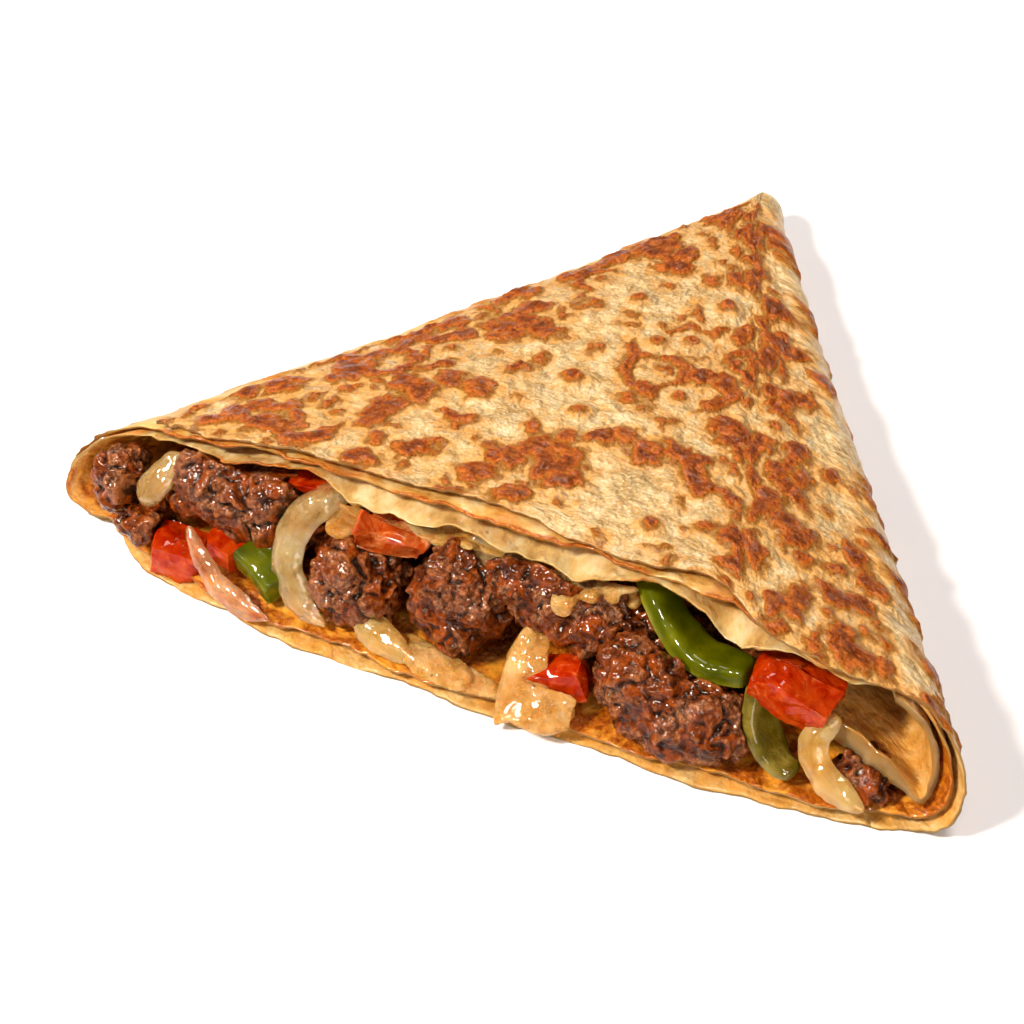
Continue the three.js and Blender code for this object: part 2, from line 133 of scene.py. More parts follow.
class Noise:
    """Smooth seeded noise over a plane or a space, roughly from -1 to 1."""

    def __init__(self, seed):
        rng = np.random.default_rng(seed)
        self.order = np.tile(rng.permutation(256), 3)
        self.arrows = rounded(rng.normal(size=(256, 3)))
        self.numbers = rng.uniform(size=256)
        self.shifts = rng.uniform(size=(256, 3))

    def picked(self, place):
        """A number from 0 to 255 for each cell of a grid."""
        pick = self.order[place[..., 0] & 255]
        for axis in range(1, place.shape[-1]):
            pick = self.order[pick + (place[..., axis] & 255)]
        return pick

    def at(self, points, size):
        """The noise at points of 2 or 3 coordinates, with features of about that size."""
        p = np.asarray(points, float) / size
        cell = np.floor(p).astype(int)
        inside = p - cell
        fade = inside**3 * (inside * (inside * 6 - 15) + 10)
        dims = p.shape[-1]
        total = np.zeros(p.shape[:-1])
        for corner in np.ndindex(*(2,) * dims):
            corner = np.array(corner)
            arrow = self.arrows[self.picked(cell + corner)][..., :dims]
            weight = np.prod(np.where(corner == 1, fade, 1 - fade), axis=-1)
            total += (arrow * (inside - corner)).sum(-1) * weight
        return total * 1.7

    def layered(self, points, size, layers, gain=0.5):
        return sum(
            gain**k * self.at(np.asarray(points) + 31.7 * k, size / 2**k) for k in range(layers)
        )

    def warp(self, points, size, layers=1):
        """Noise in three directions."""
        shifts = (11, 53, 97)
        return np.stack([self.layered(points + k, size, layers) for k in shifts], axis=-1)

    def chunks(self, points, size):
        """Cells of about that size round scattered seeds: depth in the cell, and its number."""
        p = np.asarray(points, float) / size
        cell = np.floor(p).astype(int)
        first, second = np.full((2, len(p)), 9.0)
        number = np.zeros(len(p))
        for step in np.ndindex(3, 3, 3):
            place = cell + np.array(step) - 1
            pick = self.picked(place)
            far = np.linalg.norm(p - place - self.shifts[pick], axis=1)
            closer = far < first
            second = np.where(closer, first, np.minimum(second, far))
            number = np.where(closer, self.numbers[pick], number)
            first = np.minimum(first, far)
        return (second - first) * size, number

    def billow(self, points, size):
        """Rounded lumps with creases between them, from 0 to about 1."""
        return np.abs(self.at(points + 0.25 * size * self.warp(points, size), size)) * 1.6


SURFACE = Noise(5)  # of the sheet


# ---- the folded sheet, as in the solids ----
def fold_radius(back):
    return mix(TIP_RADIUS, FOLD_RADIUS, (np.maximum(back, 0) / DEPTH) ** 1.25)


def flat_half(side, back):
    run = (back - NOSE) / (DEPTH - NOSE)
    soft = (run + np.sqrt(run * run + 0.0004)) / 2
    share = np.clip(back / DEPTH, 0, 1)
    waist = np.where(side < 0, 1 - 4 * WAIST * share * (1 - share), 1)
    return (np.where(side < 0, LEFT_HALF, RIGHT_HALF) - FOLD_RADIUS) * soft * waist


def crown(side, back):
    across = np.maximum(0, 1 - np.abs(side) ** 3) ** 1.15
    return CROWN * (np.maximum(back, 0) / DEPTH) ** 1.1 * across


def nose_start(level):
    return 0.5 + 4.2 * level


def nose(level, back):
    run = np.minimum(1, (back - nose_start(level)) / NOSE)
    return np.sqrt(np.maximum(0, 1 - (1 - run) ** 2))


def top_reach(level, side):
    """How far a top sheet's front edge reaches ahead of the front line."""
    edge = np.take([-7, -6.3, -5.5], level)
    edge = edge + np.take([6.5, 4.5, 3], level) * ease(side, 0.58, 0.68)
    corner = -3.5 * ease(side, 0.84, 1) - 4 * ease(-side, 0.7, 1)
    wave = 0.6 * np.sin(6.5 * side + 2.1 * level) + 0.4 * np.sin(15 * side + 1.3 * level)
    return edge + corner + wave * (1 - side**6)


def low_reach(level, side):
    drawn_back = np.where(side < 0, 0.93, 0.5)
    power = np.where(side < 0, 3.2, 4.5)
    wave = mix(1, 0.4, (side + 1) / 2) * np.sin(14 * side + 0.5 + 2 * level)
    return BOW * (1 - drawn_back * np.abs(side) ** power) - 1.5 * level + wave * (1 - side**6)


def flare(level, side, ahead):
    droop = np.take([0.3, -0.3, -0.6], level)
    droop = droop + np.take([0.2, 0.4, 0.5], level) * np.sin(9 * side + 1.7 * level)
    sag = np.take([1.2, 0.8, 0.4], level) * bump(side, 0.17, 0.15)
    return (droop - sag) * ease(ahead, -FLARE_RUN, 0) * (1 - side**6)


def hang(side):
    return np.interp(side, *zip(*HANG))


class Rulings:
    """Lines of the winding from the tip to the front edge, one after the other.

    A line lies at a side, from -1 at the left fold to 1 at the right, and at a turn, from 0 on the
    top to 180 on the bottom. Level 0 is the outermost layer."""

    def __init__(self):
        self.rows = []

    def add(self, side, turn, upper, lower, along=0, curl=NO_CURL):
        """Side, turn, level at the top and the bottom, length along the flap, turn of the curl."""
        self.rows += list(np.broadcast(side, turn, upper, lower, along, curl))
        return self

    def flat(self, start, end, spacing, turn, level):
        count = max(2, round(abs(end - start) * (LEFT_HALF - FOLD_RADIUS) / spacing))
        return self.add(np.linspace(start, end, count, endpoint=False), turn, level, level)

    def fold(self, side, start, end, spacing, upper, lower):
        count = max(6, round(abs(end - start) / 180 * math.pi * FOLD_RADIUS / spacing))
        return self.add(side, np.linspace(start, end, count, endpoint=False), upper, lower)

    def to(self, side, turn, level):
        """The stretch's last line, which the next stretch starts with."""
        return self.add([side], turn, level, level)

    def curl(self, spacing):
        wide = FOLD_RADIUS - CURL_LEVEL * LAYER_PITCH
        count = round(math.radians(CURL_END) * wide / spacing)
        curls = np.linspace(0, CURL_END, count, endpoint=False)
        alongs = np.linspace(0, FLAP_LENGTH, round(FLAP_LENGTH / spacing) + 1)
        self.add(1, 0, CURL_LEVEL, CURL_LEVEL, curl=curls)
        return self.add(1, 0, CURL_LEVEL, CURL_LEVEL, alongs, CURL_END)

    def done(self, first_turn):
        """Works out where the lines start and end, on the wedge and on the flat disc."""
        side, turn, upper, lower, along, curl = np.array(self.rows, float).T[:, :, None]
        upper, lower = upper.astype(int), lower.astype(int)
        self.side, self.turn, self.upper, self.lower = side, turn, upper, lower
        self.along, self.curl_turn, self.curled = along, curl, curl >= 0
        self.level = mix(upper, lower, turn / 180)
        high = top_reach(upper, side)
        reach = mix(high, low_reach(lower, side), ease(turn, 0, 180))
        bulge = np.where(side < 0, LEFT_BULGE, RIGHT_BULGE) * np.sin(np.radians(turn))
        curl_reach = mix(high, low_reach(1, side) - 1, ease(curl, 0, CURL_END)) - FLAP_SLANT * along
        self.end = DEPTH + np.where(self.curled, curl_reach, reach + bulge)
        start = TIP_HOLE + nose_start(self.level) + THIRD_START * np.maximum(0, self.level - 1)
        opened = mix(start, CURL_START, np.clip(2 * curl / CURL_BEND, 0, 1))
        self.start = np.where(self.curled, opened, start)
        front = self.at(self.end, SHEET / 2)[:, 0]
        steps = np.linalg.norm(np.diff(front, axis=0), axis=1)
        far = np.hypot(front[:, 0], DEPTH - front[:, 1])
        self.disc_turn = (first_turn + np.concatenate([[0], np.cumsum(steps / far[1:])]))[:, None]
        # Which lines are under others, which are on the top side, and which are the third sheet's.
        self.hidden = np.minimum(self.level, 1)
        self.veil = self.hidden * (1 - ease(turn, 20, 70)) * ~self.curled
        self.on_top = (turn == 0) * ~self.curled
        self.third = self.on_top * (self.level == 2)
        return self

    def at(self, back, inset):
        """Points at distances from the tip, that far inside the winding's outer face."""
        side, turn, round_back = self.side, np.radians(self.turn), fold_radius(back)
        radius = (round_back - self.level * LAYER_PITCH - inset) * nose(self.level, back)
        lift = crown(side, back) + flare(self.upper, side, back - self.end)
        x = side * flat_half(side, back) + np.sign(side) * radius * np.sin(turn)
        z = round_back + radius * np.cos(turn) + np.where(self.turn == 0, lift, 0)
        wide = round_back - CURL_LEVEL * LAYER_PITCH - SHEET / 2
        tight = CURL_TIGHTNESS * wide
        bend = np.radians(np.clip(self.curl_turn, 0, CURL_BEND))
        last = np.radians(np.clip(self.curl_turn, 0, CURL_END))
        radius, run = tight + SHEET / 2 - inset, self.along * back / DEPTH
        curl_x = flat_half(side, back) + (wide - tight) * np.sin(bend)
        curl_x = curl_x + radius * np.sin(last) + run * np.cos(last)
        curl_z = round_back + (wide - tight) * np.cos(bend)
        curl_z = curl_z + radius * np.cos(last) - run * np.sin(last)
        x, z = np.where(self.curled, curl_x, x), np.where(self.curled, curl_z, z)
        return np.stack(np.broadcast_arrays(x, DEPTH - back, z), axis=-1)

    def flat_places(self, back):
        """Where points lie on the flat disc that the sheet was baked as."""
        far = np.hypot(self.side * flat_half(self.side, back), back)
        return np.stack([far * np.sin(self.disc_turn), far * np.cos(self.disc_turn)], axis=-1)

    def rim(self, size, shift=0):
        """Noise along the disc's edge: one value for each line."""
        turn = self.disc_turn
        places = np.column_stack([RIM_RADIUS * np.sin(turn), RIM_RADIUS * np.cos(turn)])
        return SURFACE.at(places + shift, size)[:, None]


# ---- meshes ----
def new_mesh(name, points, faces, attributes=None):
    """A mesh object of points in the modelling frame, with values at its points."""
    mesh = bpy.data.meshes.new(name)
    faces = faces.tolist() if isinstance(faces, np.ndarray) else faces
    mesh.from_pydata(((np.asarray(points) - ORIGIN) * MM).tolist(), [], faces)
    for key, values in (attributes or {}).items():
        values = np.asarray(values, np.float32)
        kind = "FLOAT" if values.ndim == 1 else "FLOAT_VECTOR"
        layer = mesh.attributes.new(key, kind, "POINT")
        layer.data.foreach_set("value" if values.ndim == 1 else "vector", values.ravel())
    mesh.shade_smooth()
    piece = bpy.data.objects.new(name, mesh)
    bpy.context.scene.collection.objects.link(piece)
    return piece


def quads(across, rows, ring=False):
    """Faces over a grid of points; in a ring, the last row joins the first."""
    i, j = np.meshgrid(np.arange(across - 1), np.arange(rows if ring else rows - 1), indexing="ij")
    a, b = (i * rows + j).ravel(), (i * rows + (j + 1) % rows).ravel()
    return np.stack([a, a + rows, b + rows, b], axis=1)


def vectors(items, key):
    """The "co" of vertices, or the "vector" of normals, as rows."""
    flat = np.empty(len(items) * 3, np.float32)
    items.foreach_get(key, flat)
    return flat.reshape(-1, 3).astype(float)


class Neighbours:
    """Averages values over each point's neighbours in a mesh."""

    def __init__(self, mesh):
        edges = np.empty(len(mesh.edges) * 2, np.int32)
        mesh.edges.foreach_get("vertices", edges)
        self.ends = edges.reshape(-1, 2).T
        self.count = len(mesh.vertices)
        self.links = np.bincount(edges, minlength=self.count)

    def spread(self, values, rounds=1):
        a, b = self.ends
        for _ in range(rounds):
            columns = values.reshape(self.count, -1).T
            sums = [
                np.bincount(a, column[b], self.count) + np.bincount(b, column[a], self.count)
                for column in columns
            ]
            values = (np.array(sums) / self.links).T.reshape(values.shape)
        return values

    def hollows(self, points, normals, rounds=5):
        """How far each point lies below its surroundings: above 0 in a crease."""
        return self.spread(((self.spread(points, rounds) - points) * normals).sum(1), 2)


def skinned(points, faces, voxel, relax):
    """One closed skin round everything in the mesh, relaxed by so many steps."""
    mesh = bpy.data.meshes.new("raw")
    mesh.from_pydata(np.asarray(points).tolist(), [], faces)
    piece = bpy.data.objects.new("raw", mesh)
    bpy.context.scene.collection.objects.link(piece)
    remesh = piece.modifiers.new("skin", "REMESH")
    remesh.mode = "VOXEL"
    remesh.voxel_size = voxel
    smooth = piece.modifiers.new("relax", "SMOOTH")
    smooth.factor = 0.5
    smooth.iterations = relax
    graph = bpy.context.evaluated_depsgraph_get()
    result = bpy.data.meshes.new_from_object(piece.evaluated_get(graph))
    bpy.data.objects.remove(piece)
    bpy.data.meshes.remove(mesh)
    return result


def cad_mesh(node):
    """A CAD node's points in the modelling frame, and its triangles."""
    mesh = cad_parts[node].data
    points = vectors(mesh.vertices, "co") / MM + ORIGIN
    places, index = np.unique(points.round(4), axis=0, return_inverse=True)
    return places, [[int(index[corner]) for corner in face.vertices] for face in mesh.polygons]


def placed(piece, material, slot, *nodes):
    """The piece rides on the food, takes its material, and stands for CAD nodes. The slot is not used."""
    piece.data.materials.append(material)
    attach(piece, "root")
    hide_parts(*nodes)
    return piece


def skinned_piece(name, material, slot, node, solid, shape, voxel, relax, even):
    """A piece with one skin round a solid. "shape" moves its points, and gives values for them.

    "relax" is by how many steps the skin is smoothed, and "even" the directions its points move in."""
    mesh = skinned(*solid, voxel, relax)
    near = Neighbours(mesh)
    normals = rounded(near.spread(vectors(mesh.vertex_normals, "vector"), even))
    places, values = shape(vectors(mesh.vertices, "co"), normals, near)
    corners = np.empty(len(mesh.loops), np.int32)
    mesh.loops.foreach_get("vertex_index", corners)
    piece = new_mesh(name, places, corners.reshape(-1, 4), {"place": places, **values})
    bpy.data.meshes.remove(mesh)
    return placed(piece, material, slot, node)


# ---- node materials ----
def linear(name):
    """A hex colour as the linear values that Blender works with."""
    parts = [int(name[i : i + 2], 16) / 255 for i in (1, 3, 5)]
    return [p / 12.92 if p <= 0.04045 else ((p + 0.055) / 1.055) ** 2.4 for p in parts] + [1]


# What a look's finish sets on the shader.
SOCKETS = {
    "coat": ("Coat Weight", "Coat Roughness", "Coat IOR"),
    "scatter": ("Subsurface Weight", "Subsurface Radius", "Subsurface Scale"),
    "gloss": ("Specular IOR Level", "Specular Tint"),
    "clear": ("Transmission Weight", "IOR"),
    "rough": ("Roughness",),
}


class Look:
    """A procedural material. Wavelengths are in millimetres over the vector given."""

    def __init__(self, name, **finish):
        self.material = bpy.data.materials.new(name)
        self.material.use_nodes = True
        self.tree = self.material.node_tree
        self.shader = self.tree.nodes["Principled BSDF"]
        for kind, values in finish.items():
            for socket, value in zip(SOCKETS[kind], values):
                self.shader.inputs[socket].default_value = value
        self.place = self.attribute("place", "Vector")

    def attribute(self, name, output="Fac"):
        node = self.tree.nodes.new("ShaderNodeAttribute")
        node.attribute_name = name
        return node.outputs[output]

    def wire(self, node, inputs):
        for key, value in inputs.items():
            if isinstance(value, bpy.types.NodeSocket):
                self.tree.links.new(value, node.inputs[key])
            elif value is not None:
                node.inputs[key].default_value = value
        return node

    def noise(self, wavelength, detail=3, rough=0.55, warp=0, vector=None):
        node = self.tree.nodes.new("ShaderNodeTexNoise")
        inputs = {"Vector": vector or self.place, "Scale": 1 / wavelength, "Detail": detail}
        return self.wire(node, {**inputs, "Roughness": rough, "Distortion": warp}).outputs["Fac"]

    def cells(self, wavelength):
        """The distance from the middle of the nearest of many scattered spots."""
        node = self.tree.nodes.new("ShaderNodeTexVoronoi")
        return self.wire(node, {"Vector": self.place, "Scale": 1 / wavelength}).outputs["Distance"]

    def math(self, kind, *values):
        node = self.tree.nodes.new("ShaderNodeMath")
        node.operation = kind
        return self.wire(node, dict(enumerate(values))).outputs[0]

    def added(self, *parts):
        """The sum of (value, factor) pairs, each value times its factor."""
        total = 0.0
        for value, factor in parts:
            total = self.math("MULTIPLY_ADD", value, factor, total)
        return total

    def scaled(self, vector, factors):
        """A vector with each coordinate times its own factor."""
        node = self.tree.nodes.new("ShaderNodeVectorMath")
        node.operation = "MULTIPLY"
        return self.wire(node, {0: vector, 1: factors}).outputs[0]

    def span(self, value, low, high, to_low=0.0, to_high=1.0):
        """Maps low..high smoothly onto to_low..to_high."""
        node = self.tree.nodes.new("ShaderNodeMapRange")
        node.interpolation_type = "SMOOTHSTEP"
        return self.wire(node, dict(enumerate([value, low, high, to_low, to_high]))).outputs[0]

    def ramp(self, value, *stops):
        """Colours along a value: (place, colour) pairs."""
        node = self.tree.nodes.new("ShaderNodeValToRGB")
        marks = node.color_ramp.elements
        while len(marks) < len(stops):
            marks.new(0.5)
        for mark, (place, color) in zip(marks, stops):
            mark.position = place
            mark.color = linear(color)
        self.tree.links.new(value, node.inputs[0])
        return node.outputs["Color"]

    def blend(self, share, a, b, kind="MIX"):
        """Mixes two colours; a colour is a socket or a hex name."""
        node = self.tree.nodes.new("ShaderNodeMix")
        node.data_type = "RGBA"
        node.blend_type = kind
        a, b = (linear(c) if isinstance(c, str) else c for c in (a, b))
        return self.wire(node, {0: share, 6: a, 7: b}).outputs[2]

    def tinted(self, color, *tints):
        """Turns a colour to tints in turn. A tint takes over, by up to a share, as a value goes
        from low to high: value, low, high, share, tint."""
        for value, low, high, share, tint in tints:
            color = self.blend(self.span(value, low, high, 0, share), color, tint)
        return color

    def finish(self, color, roughness=None, height=None, depth=0.0):
        """Joins up the shader. "depth" is the relief's, in millimetres."""
        normal = None
        if height is not None:
            node = self.tree.nodes.new("ShaderNodeBump")
            normal = self.wire(node, {"Height": height, "Distance": depth * MM}).outputs["Normal"]
        self.wire(self.shader, {"Base Color": color, "Roughness": roughness, "Normal": normal})
        return self.material


# ---- browning of the sheet ----
# Groups of browned islands on the top: across, back from the front line, how far they spread
# sideways and back, and how many they are.
GROUPS = [
    (5, 31, 13, 7, 11), (-28, 41, 10, 6, 6), (-42, 27, 8, 6, 5), (-64, 22, 10, 4, 7),
    (-50, 14, 12, 3, 7), (-54, 46, 7, 5, 5), (-27, 79, 12, 6, 10), (-22, 103, 6, 3, 3),
    (-14, 124, 5, 6, 4), (-5, 117, 5, 3, 3), (-6, 139, 4, 4, 3), (7, 134, 5, 5, 4),
    (23, 112, 4, 3, 2), (30, 99, 4, 6, 4), (38, 60, 8, 5, 6), (52, 60, 5, 8, 5),
    (34, 42, 9, 6, 8), (57, 40, 9, 6, 7), (48, 26, 9, 5, 7), (74, 27, 7, 9, 6),
    (60, 12, 8, 3, 4), (85, 13, 6, 4, 4), (17, 44, 8, 3, 3), (-9, 22, 4, 3, 2),
    (44, 84, 3, 12, 4), (2, 12, 4, 2, 2), (-75, 36, 5, 8, 5), (-45, 66, 6, 6, 4),
]
# Ringed islands: across, back, radius. Blisters stand up round a brown middle.
RINGS = [(9, 72, 7.0), (22, 72, 6.0), (11, 88, 4.2), (26, 87, 4.0), (-49, 50, 6.5)]
BLISTERS = [
    (-6, 60, 5.4), (14, 104, 4.6), (12, 87, 3.6), (1, 48.5, 3.8), (5, 82.5, 3.4), (-7, 97, 3.6),
    (18, 65, 3.6), (-20, 102, 3.2), (31, 19, 4.2), (59, 10.5, 3.8), (-38, 60, 3.2), (43, 70, 3.4),
]
SCATTERED_TO = 190.0  # how far from the tip the islands are scattered
OUT_OF_REACH = -6.0  # the depth far from any island


class Browning:
    """Where the pan browned the sheet, over the flat disc that it was baked as.

    An island is its middle, its size, how narrow it is and the way it is turned."""

    def __init__(self, seed, scatter, groups=(), rings=(), blisters=(), along_folds=0):
        rng = np.random.default_rng(seed)
        uniform, normal = rng.uniform, rng.normal
        self.noise = Noise(seed)
        self.islands = islands = []
        for across, back, wide, deep, count in groups:
            for _ in range(count):
                x, y = across + wide * normal() * 0.55, DEPTH - back + deep * normal() * 0.55
                islands.append((x, y, uniform(1.6, 3.7), uniform(0.5, 1), uniform(0, 3.14)))
        for _ in range(along_folds):
            sign = 1 if uniform() < 0.5 else -1
            y = DEPTH * uniform(0.08, 0.99)
            x = sign * flat_half(sign, y) * uniform(0.84 if sign < 0 else 0.6, 1.04)
            islands.append((x, y, uniform(1.1, 3.0), uniform(0.4, 1), sign * uniform(0.6, 1.4)))
        for _ in range(scatter):
            turn = uniform(-math.pi, math.pi)
            far, size = SCATTERED_TO * math.sqrt(uniform(0.004, 1)), 0.7 + 2.6 * uniform() ** 2.5
            x, y = far * math.sin(turn), far * math.cos(turn)
            islands.append((x, y, size, uniform(0.5, 1), uniform(0, 3.14)))
        self.rings = [(x, DEPTH - back, radius) for x, back, radius in rings]
        self.blisters = [(x, DEPTH - back, radius) for x, back, radius in blisters]

    def depth_in(self, flat):
        """How far each point lies inside the browned islands, in millimetres; below 0 outside."""
        shake = np.stack([self.noise.layered(flat + k, 5.0, 3, 0.6) for k in (0, 77)], axis=-1)
        p = flat + 1.7 * shake
        best = np.full(len(flat), OUT_OF_REACH)
        for x, y, size, narrow, turn in self.islands:
            near = np.flatnonzero(np.abs(p - (x, y)).max(1) < size + 5)
            d = p[near] - (x, y)
            along = d[:, 0] * math.cos(turn) + d[:, 1] * math.sin(turn)
            across = (d[:, 1] * math.cos(turn) - d[:, 0] * math.sin(turn)) / narrow
            best[near] = np.maximum(best[near], size - np.hypot(along, across) * narrow**0.5)
        for x, y, radius in self.rings:
            far = np.hypot(*(p - (x, y)).T)
            best = np.maximum(best, 1.6 - np.abs(far - radius) * (1.2 + 0.4 * shake[:, 0]))
        for x, y, radius in self.blisters:
            far = np.hypot(*(flat + 0.4 * shake - (x, y)).T)
            best = mix(best, 0.5 * radius - 1.3 * far, 1 - ease(far, 0.9 * radius, 1.7 * radius))
        return best

    def blister_height(self, flat):
        height = np.zeros(len(flat))
        for x, y, radius in self.blisters:
            far = np.hypot(*(flat - (x, y)).T) / radius + 0.2 * self.noise.at(flat, 3.5)
            height += radius / 4.4 * (bump(far, 0.4, 0.5) - 0.12 * bump(far, 1.3, 0.4))
        return height


OUTSIDE = Browning(
    seed=3, scatter=1500, groups=GROUPS, rings=RINGS, blisters=BLISTERS, along_folds=110
)
INSIDE = Browning(seed=11, scatter=420)


# ---- the sheet's pieces ----
def even_rows(spacing):
    """Distances from the tip as shares: close at the rounded tip, then even."""
    even = np.linspace(0, 1, round(DEPTH / spacing))
    head = 1 - np.cos(np.linspace(0, math.pi / 2, 9)[:-1])
    return np.unique(np.concatenate([head * NOSE / DEPTH, even[even > NOSE / DEPTH]]))


def front_rows(spacing, coarse=4.0, unseen=0.72):
    """Distances from the tip as shares: coarse where the sheet is unseen, then close."""
    half_way = mix(unseen, 1, 0.5)
    stretches = ((0, unseen, coarse), (unseen, half_way, 2 * spacing), (half_way, 1, spacing))
    return np.concatenate([
        np.linspace(start, end, round((end - start) * DEPTH / step), endpoint=end == 1)
        for start, end, step in stretches
    ])


def slab_faces(across, rows, kept):
    """Faces that close a fine outer face and an inner face of only the kept rows."""
    start, fewer = across * rows, len(kept)
    i = np.arange(across - 1)
    a, b = i * rows, start + i * fewer
    tip = np.stack([a, a + rows, b + fewer, b], axis=1)
    a, b = a + rows - 1, b + fewer - 1
    front = np.stack([a, b, b + fewer, a + rows], axis=1)
    outer_face = quads(across, rows)[:, [0, 3, 2, 1]]
    faces = np.concatenate([outer_face, quads(across, fewer) + start, tip, front]).tolist()
    for i, order in ((0, 1), (across - 1, -1)):
        for j in range(fewer - 1):
            outer = [int(i * rows + k) for k in range(kept[j], kept[j + 1] + 1)]
            inner = [int(start + i * fewer + j), int(start + i * fewer + j + 1)]
            faces.append((inner + outer[::-1])[::order])
    return faces


def front_edge(lines):
    """How far the uneven front edge reaches past where the lines end."""
    side, veil, rim = lines.side, lines.veil, lines.rim
    lace = (0.8 * rim(9) + 0.45 * rim(3.5)) * (1 + 0.5 * veil) + 0.25 * rim(1.6)
    lace = lace + 1.3 * veil * rim(17, 300) * (lines.level < 2)
    lace = lace + HANG_FORWARD * lines.third * np.maximum(0, hang(side))
    drawn = sum(far * bump(side, at, wide) for far, at, wide in DRAWN_BACK)
    lace = lace - lines.on_top * (lines.level == 0) * drawn
    outermost = lines.upper + lines.lower < 2
    return lace - LEFT_DRAWN_BACK * bump(side, -1, 0.14) * ease(lines.turn, 20, 90) * outermost


def ruffles(lines, ahead):
    """How high the front edges stand; the second and third sheets are ruffled, and hang down."""
    rim, level = lines.rim, lines.level
    ruffle = lines.veil * (0.5 * rim(11, 150) + 0.25 * rim(4.5, 170) + 0.75 * level)
    ruffle = (ruffle - 0.3 * lines.on_top * (level == 0)) * (1 - ease(ahead, 0, 11))
    hung = hang(lines.side) + 0.7 * rim(5, 400) + 0.3 * rim(2.5, 410)
    ruffle = ruffle - lines.third * hung * (1 - ease(ahead, 0, HANG_RUN))
    frill = (0.45 + 0.5 * rim(5, 450) + 0.3 * rim(2.6, 460)) * (1 - ease(ahead, 0, 7))
    return ruffle - frill * ease(lines.turn, 150, 180) * (level >= 1)


def thickness(lines, flat, ahead):
    """The sheet's thickness: it thins towards its front edge, but thickens in the curled end."""
    edge = np.where(lines.curled, mix(*CURL_EDGES, ease(lines.along, 0, 8)), THIN_EDGE)
    edge = np.where(lines.third, THIRD_EDGE, edge)
    return mix(edge, SHEET, ease(ahead, 0, THIN_RUN)) + 0.12 * SURFACE.at(flat + 90, 3)


def scorched_rim(lines, flat, ahead, level):
    """How scorched the sheet is along its front edge."""
    scorch = np.take([0.5, 1.3, 0.35], level) * ease(lines.rim(20, 220), -0.6, 0.25)
    spots = bump(lines.side, -0.6, 0.14) + 0.7 * bump(lines.side, 0.36, 0.07)
    scorch = scorch + 1.1 * lines.third * spots
    scorch = scorch * (1 - 0.6 * ease(lines.turn, 60, 150)) * np.where(lines.curled, 0.25, 1)
    return scorch * (1 - ease(ahead, 0.1, 1.1 + 2.4 * np.abs(SURFACE.at(flat, 5))))


def greasiness(lines, flat, ahead, level):
    """How greasy the inner face is: little under the top, fully where the filling lies."""
    patches = ease(SURFACE.at(flat + 600, 9), -0.4, 0.3)
    near_edge = 0.12 + 0.5 * (1 - ease(ahead, 3, 16)) * patches
    in_fold = bump(lines.side, -1, 0.05) * np.sin(np.radians(lines.turn))
    greased = mix(1, ease(ahead, 0, 3) * 0.75 + 0.05, in_fold)
    fatty = np.where(level == 0, near_edge, np.where(lines.curled, 0.5, greased))
    return mix(fatty, 0.3 + 0.7 * ease(ahead, 0, 2.6), np.sqrt(in_fold))


